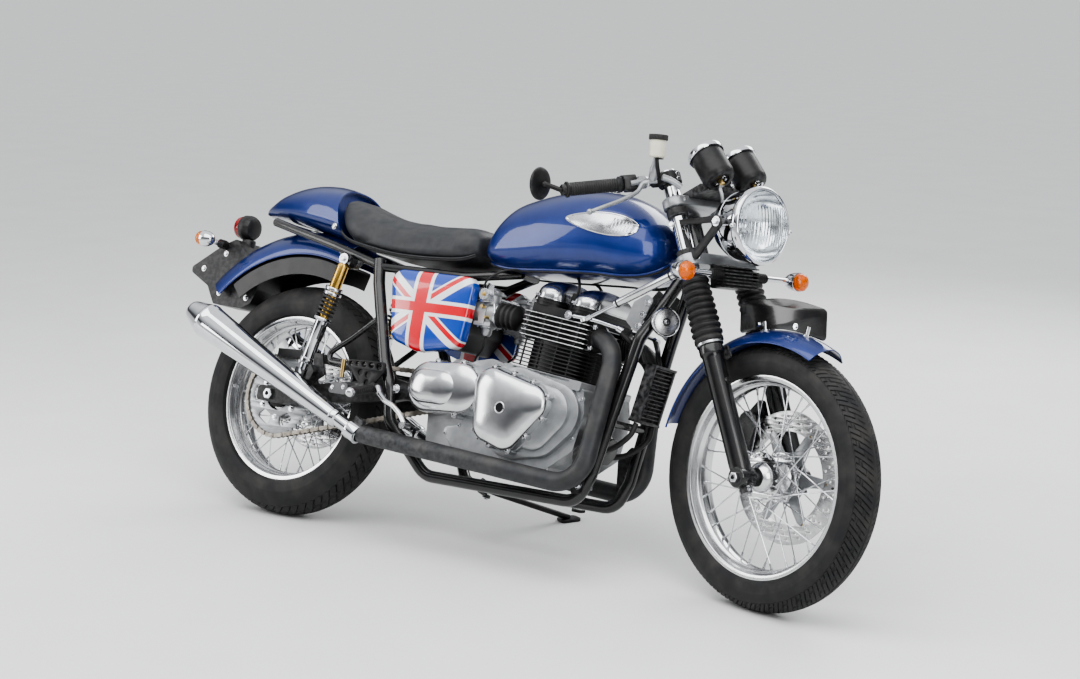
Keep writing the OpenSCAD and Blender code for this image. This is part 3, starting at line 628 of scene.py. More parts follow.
CHAIN_STEEL = finish("oiled chain steel", (0.16, 0.14, 0.12), (0.30, 0.28, 0.25), 0.35, 0.25,
                     metallic=0.9, grain=(1500, 0.1), dust=0.20)

# %% Rubber, plastic and vinyl
TYRE_RUBBER = finish("tyre rubber", (0.010, 0.010, 0.011), (0.014, 0.014, 0.015), 0.62, 0.16,
                     grain=(1600, 0.22), dust=0.10, Specular_IOR_Level=0.35)
SOFT_RUBBER = finish("moulded rubber", (0.006, 0.006, 0.007), (0.010, 0.010, 0.011), 0.5, 0.16,
                     grain=(2200, 0.15), dust=0.06, Specular_IOR_Level=0.4)
PLASTIC = finish("black moulded plastic", (0.006, 0.006, 0.007), (0.010, 0.010, 0.011), 0.4, 0.15,
                 grain=(2600, 0.12), dust=0.08)
PLATE_BLACK = finish("plate enamel", (0.008, 0.008, 0.009), (0.013, 0.013, 0.014), 0.2, 0.12,
                     grain=(400, 0.02), dust=0.08, Coat_Weight=0.6, Coat_Roughness=0.08)
VINYL = finish("seat vinyl", (0.022, 0.024, 0.027), (0.034, 0.036, 0.040), 0.48, 0.14,
               grain=(700, 0.38), dust=0.06, patch=60.0, Specular_IOR_Level=0.4)
CLOUDY = finish("cloudy fluid pot", (0.62, 0.60, 0.50), (0.70, 0.68, 0.58), 0.35, 0.1, dust=0.04,
                Subsurface_Weight=0.3, Subsurface_Radius=(0.01, 0.008, 0.005))


# %% [markdown]
# Lenses need thickness to look right, so they are modelled as solid glass and given real
# transmission. The amber and red ones are the same glass with colour in the body of it.

# %% Glass
def glass(name, low, high, roughness=0.03, ior=1.5, weight=1.0):
    material = finish(name, low, high, roughness + 0.02, 0.03, dust=0.02)
    shader = material.node_tree.nodes["Principled BSDF"]
    shader.inputs["Transmission Weight"].default_value = weight
    shader.inputs["IOR"].default_value = ior
    return material


CLEAR_GLASS = glass("clear fluted glass", (0.92, 0.95, 0.97), (0.96, 0.98, 1.0))
AMBER_GLASS = glass("amber lens", (0.90, 0.28, 0.02), (0.95, 0.34, 0.03), 0.08, weight=0.75)
RED_GLASS = glass("red lens", (0.55, 0.01, 0.01), (0.65, 0.02, 0.015), 0.08, weight=0.7)
MIRROR_GLASS = finish("silvered glass", (0.86, 0.88, 0.90), (0.9, 0.92, 0.93), 0.03, 0.03,
                      metallic=1.0, dust=0.02)
RED_GLOW = finish("red lens, inside", (0.50, 0.01, 0.01), (0.60, 0.015, 0.012), 0.3, 0.1, dust=0.0,
                  patch=200.0)
AMBER_GLOW = finish("amber lens, inside", (0.85, 0.22, 0.01), (0.95, 0.30, 0.02), 0.3, 0.1, dust=0.0,
                    patch=200.0)
GREY_SHIELD = finish("grey heel guard", (0.07, 0.072, 0.076), (0.10, 0.102, 0.106), 0.45, 0.15,
                     grain=(1200, 0.1), dust=0.12)


# %% Woven steel hose
def braided_hose():
    """Crossed sine waves make the weave of a stainless brake line."""
    material = finish("braided hose", (0.38, 0.39, 0.40), (0.6, 0.61, 0.62), 0.35, 0.1,
                      metallic=1.0, dust=0.05)
    tree = material.node_tree
    where = tree.nodes.new("ShaderNodeTexCoord").outputs["Object"]
    heights = []
    for tilt in (0.8, -0.8):
        mapping = tree.nodes.new("ShaderNodeMapping")
        mapping.inputs["Rotation"].default_value = (0.4, tilt, tilt)
        wave = node(tree, "TexWave", Scale=320.0)
        tree.links.new(where, mapping.inputs["Vector"])
        tree.links.new(mapping.outputs[0], wave.inputs["Vector"])
        heights.append(wave.outputs["Fac"])
    bump = node(tree, "Bump", Strength=0.6, Distance=0.0006)
    tree.links.new(math_node(tree, "MAXIMUM", *heights), bump.inputs["Height"])
    tree.links.new(bump.outputs[0], tree.nodes["Principled BSDF"].inputs["Normal"])
    return material


BRAID = braided_hose()
print("finishes:", len(bpy.data.materials))

# %% [markdown]
# ## Floor, light and camera
#
# A plain pale floor and big soft lights suit shiny things: chrome shows whatever is around it,
# so the lights are wide panels with soft edges rather than points.

# %% Studio
CAMERA_AT = Vector((2.936, -4.255, 1.513))
CAMERA_YAW = radians(124.80)
CAMERA_TILT = radians(-10.79)
CAMERA_ROLL = radians(0.18)
CAMERA_LENS = 66.2
CAMERA_SHIFT = 0.013


def studio_floor():
    mesh = bpy.data.meshes.new("studio_floor")
    reach = 150
    mesh.from_pydata([(-reach, -reach, 0), (reach, -reach, 0), (reach, reach, 0), (-reach, reach, 0)],
                     [], [(0, 1, 2, 3)])
    floor = bpy.data.objects.new("studio_floor", mesh)
    bpy.context.scene.collection.objects.link(floor)
    mesh.materials.append(finish("pale floor", (0.74, 0.74, 0.73), (0.77, 0.77, 0.76), 0.8, 0.1,
                                 dust=0.0, patch=3.0, Specular_IOR_Level=0.15))


def soft_light(name, at, aim, size, power, colour=(1, 1, 1)):
    data = bpy.data.lights.new(name, "AREA")
    data.shape = "RECTANGLE"
    data.size, data.size_y = size
    data.energy = power
    data.color = colour
    light = bpy.data.objects.new(name, data)
    light.matrix_world = facing(at, Vector(at) - Vector(aim))
    bpy.context.scene.collection.objects.link(light)


# %% Sky and camera
def studio_world():
    world = bpy.data.worlds.new("studio")
    world.use_nodes = True
    tree = world.node_tree
    where = tree.nodes.new("ShaderNodeTexCoord").outputs["Generated"]
    split = tree.nodes.new("ShaderNodeSeparateXYZ")
    tree.links.new(where, split.inputs[0])
    wall = mix_colour(tree, span(tree, split.outputs["Z"], 0.05, 0.14), (0.60, 0.61, 0.61, 1),
                      (0.07, 0.072, 0.08, 1))
    colour = mix_colour(tree, span(tree, split.outputs["Z"], 0.25, 0.65), wall, (0.96, 0.98, 1.0, 1))
    tree.links.new(colour, tree.nodes["Background"].inputs["Color"])
    tree.nodes["Background"].inputs["Strength"].default_value = 1.0
    bpy.context.scene.world = world


def studio_camera():
    data = bpy.data.cameras.new("camera")
    data.lens = CAMERA_LENS
    data.sensor_width = 36
    data.shift_x = CAMERA_SHIFT
    camera = bpy.data.objects.new("camera", data)
    look = Vector((cos(CAMERA_YAW) * cos(CAMERA_TILT),
                   sin(CAMERA_YAW) * cos(CAMERA_TILT), sin(CAMERA_TILT)))
    camera.matrix_world = facing(CAMERA_AT, -look) @ Matrix.Rotation(CAMERA_ROLL, 4, "Z")
    bpy.context.scene.collection.objects.link(camera)
    bpy.context.scene.camera = camera
    bpy.context.scene.view_settings.view_transform = "AgX"
    bpy.context.scene.view_settings.look = "AgX - Medium High Contrast"
    bpy.context.scene.view_settings.exposure = 0.2


studio_floor()
studio_world()
soft_light("overhead panel", (0.4, -1.6, 3.6), (0, 0, 0.5), (4.6, 3.0), 100)
soft_light("front panel", (3.6, -2.2, 1.9), (0.4, 0, 0.5), (1.6, 2.4), 45)
soft_light("tail panel", (-3.2, -2.4, 1.7), (0, 0, 0.5), (1.4, 2.2), 40)
soft_light("far side panel", (0.5, 3.4, 2.6), (0, 0, 0.5), (3.0, 1.6), 60)
studio_camera()
print("camera looks", round(degrees(CAMERA_YAW), 1), "degrees round from straight ahead")
# %% [markdown]
# ## Tyres
#
# Tread can be faked with bump, but a tyre's edge is seen against the floor, where only real
# grooves show. So the tyre is one grid wrapped round the wheel and pushed in along the
# grooves. The grid's rows are slanted to lie along the cuts, which keeps their edges crisp.

# %% A tyre with real grooves
def tyre_blank(radius, crown, rim_r, half, pitches, cuts, per_cut, slant, depth, ribs):
    ring = radius - crown
    steep = acos((rim_r + 1.5 - ring) / crown)
    arcs = [steep * (2 * k / 68 - 1) for k in range(69)]
    rows = pitches * cuts * per_cut
    step = 2 * pi / rows
    points = []
    for i in range(rows):
        for arc in arcs:
            along = crown * abs(arc)
            offset = (0.5 * cuts * per_cut if arc > 0 else 0) * step
            angle = i * step - offset + slant * min(along, 52) / radius
            phase = i % (cuts * per_cut)
            cut = depth if phase % per_cut == 0 and 7 < along < 50 else 0
            for rib_at, first, last in ribs:
                if abs(along - rib_at) < 2.0 and first <= phase / per_cut < last:
                    cut = depth
            if along < 1.4:
                cut, angle = depth, i * step
            if along > 50:
                angle = i * step
            swell = 0.7 if abs(abs(arc) - 1.45) < 0.03 else 0
            r = ring + (crown - cut + swell) * cos(arc)
            points.append((r * cos(angle), r * sin(angle), (crown - cut + swell) * sin(arc)))
        # the bead tucks in behind the rim's lip
        points.append(((rim_r - 6) * cos(i * step), (rim_r - 6) * sin(i * step), half - 6))
        points.append(((rim_r - 6) * cos(i * step), (rim_r - 6) * sin(i * step), 6 - half))
    n = len(arcs) + 2
    faces = [[i * n + j, (i + 1) % rows * n + j, (i + 1) % rows * n + (j + 1) % n, i * n + (j + 1) % n]
             for i in range(rows) for j in range(n)]
    return points, faces


front_wheel_at = around_axle(FRONT_AXLE)
rear_wheel_at = around_axle(REAR_AXLE)

tyre = Shape(STEERED)
tyre.add(tyre_blank(FRONT_RADIUS, 50, 242.5, 39, 44, 3, 6, 0.8, 2.6, [(23, 0, 1), (38, 1, 2)]),
         TYRE_RUBBER, front_wheel_at)
tyre.make("front_tyre_tread", "front_wheel", ["front_tyre"], "tyre", round_edges=0)

tyre = Shape(UPRIGHT)
tyre.add(tyre_blank(REAR_RADIUS, 65, 230.5, 51, 34, 2, 8, 1.0, 3.2, [(24, 0, 1.4)]), TYRE_RUBBER,
         rear_wheel_at)
tyre.make("rear_tyre_tread", "rear_wheel", ["rear_tyre"], "tyre", round_edges=0)

# %% [markdown]
# ## Rims and spokes
#
# A spoked rim is rolled from alloy strip, so it is a lathe job: two lips, a shoulder and a
# dropped well where the nipples sit. The spokes leave both faces of each hub flange and
# cross their neighbours, which is why they are worked out by a rule and not drawn.

# %% Rims
def rim_blank(rim_r, half):
    skin = [(rim_r + 2, half), (rim_r - 4, half + 1), (rim_r - 13, half - 1), (rim_r - 15, half - 4),
            (rim_r - 15.5, 24), (rim_r - 19, 17), (rim_r - 25, 12), (rim_r - 26.5, 5)]
    inner = [(rim_r - 23, 6), (rim_r - 16, 19), (rim_r - 11, half - 5), (rim_r + 1, half - 3.5)]
    lower = [(r, -z) for r, z in reversed(skin)]
    upper = [(r, -z) for r, z in reversed(inner)]
    return turned(ring_of(skin + lower + upper + inner), 160)


def valve_blank(rim_r):
    return moved(turned([(0.1, 0), (4, 0), (4, 10), (3, 12), (3, 30), (0.1, 31)], 16),
                 facing((rim_r - 22, 0, 0), (-1, 0, 0)))


rim = Shape(STEERED)
rim.add(rim_blank(242.5, 39), POLISHED, front_wheel_at)
rim.add(valve_blank(242.5), SOFT_RUBBER, front_wheel_at)
rim.make("front_rim_polished", "front_wheel", ["front_rim"], "polished_alloy", round_edges=1.2)
rim = Shape(UPRIGHT)
rim.add(rim_blank(230.5, 51), POLISHED, rear_wheel_at)
rim.add(valve_blank(230.5), SOFT_RUBBER, rear_wheel_at)
rim.make("rear_rim_polished", "rear_wheel", ["rear_rim"], "polished_alloy", round_edges=1.2)


# %% Spokes with nipples
def add_spokes(shape, at, count, rim_r, hub_r, flange, cross):
    for k in range(count):
        side = 1 if k % 2 == 0 else -1
        turn = 1 if k // 2 % 2 == 0 else -1
        angle = 2 * pi * k / count
        root = angle - turn * radians(cross)
        hub = Vector((hub_r * cos(root), hub_r * sin(root), side * (flange + turn * 4)))
        end = Vector(((rim_r - 25) * cos(angle), (rim_r - 25) * sin(angle), side * 6))
        run = (end - hub).normalized()
        head = hub - Vector((0, 0, side * turn * 8))
        shape.add(swept([head, hub + run * 1.5, hub + run * 6, end - run * 12], 1.7, 8), STEEL, at)
        nipple = turned([(0.1, 0), (2.6, 0), (2.6, 10), (3.4, 11), (3.4, 17), (4.4, 19), (0.1, 20)], 8)
        shape.add(moved(nipple, facing(end - run * 16, run)), STEEL, at)
        shape.add(ball(head, 2.9, 8), STEEL, at)


spokes = Shape(STEERED)
add_spokes(spokes, front_wheel_at, 36, 242.5, 52, 32, 58)
spokes.make("front_spokes_laced", "front_wheel", ["front_spokes"], "bright_steel", round_edges=0)
spokes = Shape(UPRIGHT)
add_spokes(spokes, rear_wheel_at, 40, 230.5, 60, 40, 50)
spokes.make("rear_spokes_laced", "rear_wheel", ["rear_spokes"], "bright_steel", round_edges=0)

# %% [markdown]
# ## Hubs, discs and sprocket
#
# Hubs are turned from cast alloy and polished. Discs and the sprocket are cut from flat
# plate, so they start as a flat outline with holes, which a filled curve turns into a mesh.

# %% Flat round plates
def disc_blank(outer, inner, thick, rings, count, hole=3.4):
    outlines = [circle((0, 0), outer, 128), circle((0, 0), inner, 96)]
    for i in range(count):
        angle = 2 * pi * i / count
        for k, r in enumerate(rings):
            turn = angle + k * radians(3.4)
            outlines.append(circle(polar(r, turn), hole, 10))
    return drilled(outlines, thick, 0.3)


def spider_outline(arms, root, tip, root_half, tip_half):
    points = []
    for i in range(arms):
        mid = 2 * pi * i / arms
        for r, spread in ((root, -root_half), (tip - 8, -tip_half), (tip, -tip_half * 0.6),
                          (tip, tip_half * 0.6), (tip - 8, tip_half), (root, root_half)):
            angle = mid + spread / r
            points.append(polar(r, angle))
    return round_outline(points, 4, 3)


def sprocket_blank(teeth, root, tip, thick):
    outline = []
    for i in range(teeth):
        for part, r in ((0.0, root), (0.16, root), (0.36, tip - 2), (0.44, tip), (0.56, tip),
                        (0.64, tip - 2), (0.84, root)):
            angle = 2 * pi * (i + part) / teeth
            outline.append(polar(r, angle))
    outlines = [outline, circle((0, 0), 40, 48)]
    for i in range(6):
        angle = 2 * pi * i / 6
        window = [(72 * cos(angle + a) * k, 72 * sin(angle + a) * k)
                  for a, k in ((-0.26, 0.80), (0.26, 0.80), (0.30, 1.24), (-0.30, 1.24))]
        outlines.append(round_outline(window, 9, 4))
        bolt_at = angle + pi / 6
        outlines.append(circle(polar(60, bolt_at), 4, 10))
    return drilled(outlines, thick, 0.5)


def ring_bolts(shape, at, r, height, count, finish, size=5, direction=1, start=0.0):
    for i in range(count):
        angle = start + 2 * pi * i / count
        place = (r * cos(angle), r * sin(angle), height)
        shape.add(bolt(place, (0, 0, direction), size, size), finish, at)


def spoke_holes(r, count, start=0.0):
    return [circle((r * cos(start + 2 * pi * i / count),
                    r * sin(start + 2 * pi * i / count)), 2.6, 8) for i in range(count)]


# %% Front hub and disc
hub = Shape(STEERED)
for side in SIDES:
    flange = drilled([circle((0, 0), 60, 96), circle((0, 0), 30, 64)] + spoke_holes(54, 18), 4, 0.8)
    hub.add(flange, POLISHED, front_wheel_at @ shift(0, 0, side * 32))
hub.add(turned(ring_of([(9, -52), (24, -52), (30, -46), (36, -38), (38, -30), (27, -16), (24, 0),
                        (27, 16), (38, 30), (36, 38), (30, 46), (24, 52), (9, 52)]), 96),
        POLISHED, front_wheel_at)
hub.add(turned(ring_of([(9, 50), (22, 50), (22, 53.5), (19, 54.5), (9, 54.5)]), 64), SOFT_RUBBER,
        front_wheel_at)
carrier = drilled([spider_outline(6, 62, 119, 17, 12), circle((0, 0), 24, 64)]
                  + [circle(polar(46, a), 9, 20)
                     for a in (pi / 6 + i * pi / 3 for i in range(6))], 5, 1.0)
hub.add(carrier, SILVER, front_wheel_at @ shift(0, 0, -58))
hub.add(disc_blank(160, 111, 5, (121, 134, 147), 24), DISC_STEEL,
        front_wheel_at @ shift(0, 0, -60.5))
ring_bolts(hub, front_wheel_at, 112, -63, 6, GOLD, 7, -1)
ring_bolts(hub, front_wheel_at, 38, -60.5, 6, STEEL, 4.5, -1)
hub.make("front_hub_and_disc", "front_wheel", ["front_hub"], "cast_alloy", round_edges=0.5, segments=1)

# %% Rear hub, disc and sprocket
hub = Shape(UPRIGHT)
for side in SIDES:
    flange = drilled([circle((0, 0), 69, 96), circle((0, 0), 40, 64)] + spoke_holes(62, 20), 4, 0.8)
    hub.add(flange, POLISHED, rear_wheel_at @ shift(0, 0, side * 40))
hub.add(turned(ring_of([(10.3, -78), (34, -78), (36, -70), (36, -48), (48, -40), (44, -20), (44, 20),
                        (48, 40), (62, 48), (64, 74), (58, 80), (30, 86), (10.3, 86)]), 96),
        POLISHED, rear_wheel_at)
hub.add(sprocket_blank(44, 107, 116.5, 6), SILVER, rear_wheel_at @ shift(0, 0, 91))
ring_bolts(hub, rear_wheel_at, 60, 94, 6, STEEL, 6, 1, pi / 6)
hub.add(turned(ring_of([(10.3, 90), (32, 90), (32, 98), (26, 100), (10.3, 100)]), 48), SOFT_RUBBER,
        rear_wheel_at)
hub.add(drilled([spider_outline(5, 52, 90, 15, 11), circle((0, 0), 26, 48)], 5, 1), SILVER,
        rear_wheel_at @ shift(0, 0, -81))
hub.add(disc_blank(127, 84, 5, (94, 105, 116), 20, 3.2), DISC_STEEL,
        rear_wheel_at @ shift(0, 0, -84.5))
hub.make("rear_hub_disc_and_sprocket", "rear_wheel", ["rear_hub"], "cast_alloy", round_edges=0.5,
           segments=1)

# %% [markdown]
# ## The chain
#
# A roller chain is a row of equal links, so it is laid along its path at even steps. Every
# second link is wider. The path is two arcs and the two straight runs that touch them both.

# %% Roller chain
CHAIN_Y = -91
CHAIN_BIG = (0.0, REAR_RADIUS, 111.2)
CHAIN_SMALL = (560.0, 400.0, 43.2)


def chain_path():
    (x1, z1, r1), (x2, z2, r2) = CHAIN_BIG, CHAIN_SMALL
    gap = hypot(x2 - x1, z2 - z1)
    slope = atan2(z2 - z1, x2 - x1)
    lean_in = acos((r1 - r2) / gap)
    points = []
    for i in range(65):
        a = slope + lean_in + (2 * pi - 2 * lean_in) * i / 64
        points.append(Vector((x1 + r1 * cos(a), 0, z1 + r1 * sin(a))))
    for i in range(33):
        a = slope - lean_in + 2 * lean_in * i / 32
        points.append(Vector((x2 + r2 * cos(a), 0, z2 + r2 * sin(a))))
    return points + [points[0]]


def spaced(path, count):
    lengths = [0.0]
    for a, b in zip(path, path[1:]):
        lengths.append(lengths[-1] + (b - a).length)
    result, k = [], 0
    for i in range(count):
        want = lengths[-1] * i / count
        while lengths[k + 1] < want:
            k += 1
        t = (want - lengths[k]) / (lengths[k + 1] - lengths[k])
        result.append(path[k].lerp(path[k + 1], t))
    return result, lengths[-1]


def link_plate(a, b, y, thick, half):
    """A waisted link plate between two pins."""
    u = (b - a).normalized()
    v = Vector((-u.z, 0, u.x))
    outline = []
    for centre, begin in ((b, -90), (a, 90)):
        for k in range(7):
            t = radians(begin + 30 * k)
            outline.append(centre + half * (cos(t) * u + sin(t) * v))
        outline.append((a + b) / 2 + (0.68 * half if begin < 0 else -0.68 * half) * v)
    return slab([(p.x, p.z) for p in outline], y, thick)


chain = Shape(UPRIGHT)
whole = chain_path()
link_count = 2 * round(spaced(whole, 2)[1] / 15.875 / 2)
pins, chain_length = spaced(whole, link_count)
for i, pin in enumerate(pins):
    following = pins[(i + 1) % link_count]
    spread = 7.2 if i % 2 else 5.2
    for side in SIDES:
        chain.add(link_plate(pin, following, CHAIN_Y + side * spread, 1.6, 6.6), CHAIN_STEEL)
    chain.add(rod(pin + Vector((0, CHAIN_Y - 8.6, 0)), pin + Vector((0, CHAIN_Y + 8.6, 0)), 2.6, 8),
              CHAIN_STEEL)
    chain.add(rod(pin + Vector((0, CHAIN_Y - 4, 0)), pin + Vector((0, CHAIN_Y + 4, 0)), 4.9, 10),
              CHAIN_STEEL)
chain.make("roller_chain", "frame", ["drive_chain"], "chain_steel", round_edges=0)
print("links:", link_count, "length", round(chain_length), "mm")
# %% [markdown]
# ## Frame, swingarm and shocks
#
# Frame tubes are bent and welded, so each is one path with rounded corners. A few small
# gussets and tabs make the joints look welded rather than pushed together.

# %% Frame tubes
CRADLE = [(1160, 24, 772), (1098, 78, 600), (1040, 95, 250), (1010, 95, 178), (540, 95, 176),
          (438, 151, 300), (418, 151, 392), (384, 146, 450), (300, 124, 655), (283, 119, 722)]
RAIL = [(-135, 85, 800), (128, 118, 745), (300, 118, 702), (560, 100, 702), (688, 34, 732)]
tubes = Shape(UPRIGHT)
head_low = STEER_FOOT + 563 * STEER_DIR
head_high = STEER_FOOT + 687 * STEER_DIR
tubes.add(rod(head_low, head_high, 27, 40), GLOSS_BLACK)
for end in (head_low + 5 * STEER_DIR, head_high - 5 * STEER_DIR):
    tubes.add(rod(end - 6 * STEER_DIR, end + 6 * STEER_DIR, 30, 40), GLOSS_BLACK)
tubes.add(rod(STEER_FOOT + 600 * STEER_DIR - Vector((8, 0, 0)), (700, 0, 792), 25), GLOSS_BLACK)
tubes.add(rod((700, 0, 802), (700, 0, 735), 20), GLOSS_BLACK)
tubes.both(swept(rounded_path(CRADLE, 50), 16), GLOSS_BLACK)
tubes.both(swept(rounded_path(RAIL, 60), 12), GLOSS_BLACK)
tubes.add(rod((688, -34, 732), (688, 34, 732), 11), GLOSS_BLACK)
tubes.add(rod((-125, -86, 798), (-125, 86, 798), 9), GLOSS_BLACK)
tubes.add(rod((1060, -95, 385), (1060, 95, 385), 10), GLOSS_BLACK)
tubes.both(flat_plate([(128, 745), (240, 722), (215, 688), (182, 688)], 6, 120, 8),
           GLOSS_BLACK)
tubes.both(flat_plate([(1150, 700), (1098, 640), (1060, 660), (1110, 730)], 8, 44, 5),
           GLOSS_BLACK)
tubes.both(rod((189, 114, 709), (189, 136, 709), 14), GLOSS_BLACK)
HANGER = Vector((158, 142, 432))
tubes.both(swept(rounded_path([(322, 132, 560), (250, 134, 500), HANGER, (290, 146, 428),
                               (384, 148, 440)], 18), 8, 16), GLOSS_BLACK)
tubes.both(flat_plate([(148, 448), (178, 448), (196, 392), (160, 366)], 5, 152, 6),
           SATIN_BLACK)
# The side stand's bolt, from its hinge in the working model, and the two lugs that hold it.
stand_bolt = UPRIGHT.inverted() @ Vector(joints["stand_fold"]["pos_m"])
stand_turn = (UPRIGHT.inverted().to_3x3() @ Vector(joints["stand_fold"]["axis"])).normalized()
LUG_ROOT = Vector((588, 95, 177))
LUG_GAP = 15.6
LUG_HALF_THICK = 4.7
for side in SIDES:
    lug = LUG_GAP * side * stand_turn
    half = LUG_HALF_THICK * side * stand_turn
    tubes.add(rod(LUG_ROOT + lug, stand_bolt + lug, 5, 20), GLOSS_BLACK)
    tubes.add(rod(stand_bolt + lug - half, stand_bolt + lug + half, 11, 32), GLOSS_BLACK)
    tubes.add(bolt(stand_bolt + lug + half, side * stand_turn, 6.5, 5), STEEL)
tubes.add(rod(stand_bolt - lug, stand_bolt + lug, 6, 32), STEEL)
tubes.make("frame_tubes", "frame", ["frame_spine", "frame_cradle", "seat_rails"], "frame_black",
           round_edges=0.8)

# %% Swingarm with its chain guard
arm = Shape(UPRIGHT)
ARM = [(-44, 300), (-44, 340), (30, 346), (88, 388), (128, 392), (150, 364), (420, 412), (458, 406),
       (472, 385), (458, 362), (420, 352), (40, 297)]
arm.both(flat_plate(ARM, 9, 120, 27, 4), SATIN_BLACK)
arm.add(rod((430, -107, 385), (430, 107, 385), 24, 32), SATIN_BLACK)
arm.both(rod((440, 118, 385), (440, 150, 385), 11, 24), STEEL)
for side in SIDES:
    arm.add(rod((107, side * 132, 368), (107, side * 157, 368), 7, 20), STEEL)
    arm.add(bolt((107, side * 157, 368), (0, side, 0), 7, 6), STEEL)
    arm.add(bolt((440, side * 150, 385), (0, side, 0), 9, 7), STEEL)
    arm.add(block((-52, side * 120 - 11, 309), (-38, side * 120 + 11, 331)), SILVER)
    arm.add(rod((-60, side * 120, 320), (-38, side * 120, 320), 4, 12), STEEL)
guard_top = [(x, 452 - 0.00042 * (x - 60) ** 2) for x in range(-20, 441, 46)]
guard_low = [(x, z - 24) for x, z in reversed(guard_top)]
arm.add(slab(guard_top + guard_low, -106, 3), PLASTIC)
arm.add(([(x, y, z) for x, z in guard_top for y in (-107, -76)],
         [[2 * i, 2 * i + 1, 2 * i + 3, 2 * i + 2] for i in range(len(guard_top) - 1)]), PLASTIC)
arm.make("swingarm_welded", "frame", ["swingarm"], "frame_black", round_edges=1.5)

# %% Rear axle ends
axle = Shape(UPRIGHT)
axle.add(turned(ring_of([(6, -145), (10, -145), (10, 145), (6, 145)]), 48), STEEL, rear_wheel_at)
for side in SIDES:
    axle.add(turned(ring_of([(10, side * 96), (17, side * 96), (17, side * 105), (10, side * 105)]), 48),
             STEEL, rear_wheel_at)
    nut = turned(ring_of([(10, side * 134), (16, side * 134), (16, side * 142), (14, side * 144),
                          (10, side * 144)]), 6)
    axle.add(nut, STEEL, rear_wheel_at)
axle.make("rear_axle_and_nuts", "frame", ["rear_axle"], "bright_steel", round_edges=0.6)

# %% [markdown]
# The shocks are worked out along one line from the top eye to the lower one. Only the short
# spring shows: the rest is a gold tube above it and a chrome cover below, whose slots are
# painted shade: thin black strips where the openings look dark.

# %% Shocks
SHOCK_TOP = Vector((189, 146, 709))
SHOCK_LOW = Vector((107, 146, 368))
shock_line = (SHOCK_LOW - SHOCK_TOP).normalized()
shock_at = facing(SHOCK_TOP, shock_line, (0, 1, 0))
shock_length = (SHOCK_LOW - SHOCK_TOP).length
shocks = Shape(UPRIGHT)
for end in (0, shock_length):
    eye = turned(ring_of([(7.5, -10), (15, -10), (16, -6), (16, 6), (15, 10), (7.5, 10)]), 40)
    shocks.both(moved(eye, Matrix.Rotation(pi / 2, 4, "X")), STEEL,
                Matrix.Translation(SHOCK_TOP + shock_line * end))
    shocks.both(bolt(SHOCK_TOP + shock_line * end + Vector((0, 10, 0)), (0, 1, 0), 7, 6), STEEL)
shocks.both(turned([(8, 10), (14, 14), (16, 22), (16, 84), (8, 84)], 48), GOLD, shock_at)
for k in range(2):
    base = 82 + 13 * k
    collar = turned([(14, base), (24, base), (25, base + 2), (25, base + 8), (23, base + 10),
                     (14, base + 10)], 12)
    shocks.both(collar, STEEL, shock_at)
shocks.both(turned([(7, 84), (13, 84), (13, 176), (7, 176)], 40), GOLD, shock_at)
shocks.both(turned([(8, 168), (24, 168), (26, 171), (24, 175), (18, 178), (18, 236), (17.4, 238),
                    (17.4, 284), (20, 286), (20, 296), (15, 300), (15, 330), (8, 336)], 48),
            CHROME, shock_at)
shocks.both(block((-17, -13, 318), (17, 13, 352)), SATIN_BLACK, shock_at)
# The cover's slots are not cut: five thin black strips on the chrome are painted shade where the openings
# would look dark.
for k in range(5):
    slot_at = shock_at @ Matrix.Rotation(2 * pi * k / 5, 4, "Z")
    shocks.both(flat_plate([(16.9, 186), (18.4, 186), (18.4, 228), (16.9, 228)], 0.5, 0, 5, 2),
                PLASTIC, slot_at)
shocks.make("shock_bodies", "frame", ["rear_shocks"], "shock_metal", round_edges=0.7)

coil = Shape(UPRIGHT)
turns = 5.2
helix = [(21 * cos(2 * pi * turns * i / 150), 21 * sin(2 * pi * turns * i / 150),
          108 + 58 * i / 150) for i in range(151)]
coil.both(swept(helix, 3.4, 12), SATIN_BLACK, shock_at)
coil.make("shock_coils", "frame", ["shock_springs"], "spring_black", round_edges=0)

# %% [markdown]
# ## Engine castings
#
# Cast covers are rounded outlines that rise into a crown. A lathe can't make them, and a
# sculpt would lose the crisp joint faces. Instead the outline is stretched round a few
# circles, like a rubber band, and shrunk ring by ring as it rises.

# %% Casting helpers
def rounded_hull(corners, r, steps=96):
    """The outline of a band stretched round equal circles."""
    outline = []
    for i in range(steps):
        out = Vector((cos(2 * pi * i / steps), sin(2 * pi * i / steps)))
        corner = max((Vector(c) for c in corners), key=out.dot)
        outline.append(tuple(corner + r * out))
    return outline


def domed(outline, wall, rise, power=2.4, levels=14, middle=None):
    """A cover in local XY: a straight wall, then a crown that closes over the middle."""
    centre = middle or [sum(p[k] for p in outline) / len(outline) for k in (0, 1)]
    rings = [[(x, y, 0) for x, y in outline]]
    for k in range(levels + 1):
        angle = pi / 2 * k / levels
        size = max(cos(angle), 0) ** (2 / power)
        height = wall + rise * sin(angle) ** (2 / power)
        rings.append([(centre[0] + (x - centre[0]) * size, centre[1] + (y - centre[1]) * size, height)
                      for x, y in outline])
    points, faces = lofted(rings, caps=False)
    return points, faces + [list(reversed(range(len(outline))))]


def on_right(y):
    """Local X forwards, local Y up, local Z out of the right side from a distance y."""
    return around_axle(Vector((0, -y, 0)))


def on_left(y):
    return Matrix.Scale(-1, 4, (0, 1, 0)) @ on_right(y)


def studs(shape, places, y, side, finish, r=5, boss=9, deep=40, boss_finish=None):
    """Screw bosses round a cover, each with its cap screw."""
    for x, z in places:
        base = Vector((x, side * (y - deep), z))
        shape.add(rod(base, Vector((x, side * y, z)), boss, 20), boss_finish or finish)
        shape.add(bolt((x, side * y, z), (0, side, 0), r, 5), STEEL)
        # The flat black hexagon on each screw head is painted shade, standing in for the dark socket of the
        # cap screw.
        shape.add(turned([(0.01, 6), (r * 0.5, 6), (r * 0.5, 5.2)], 6), PLASTIC,
                  facing((x, side * (y + 0.2), z), (0, side, 0)))


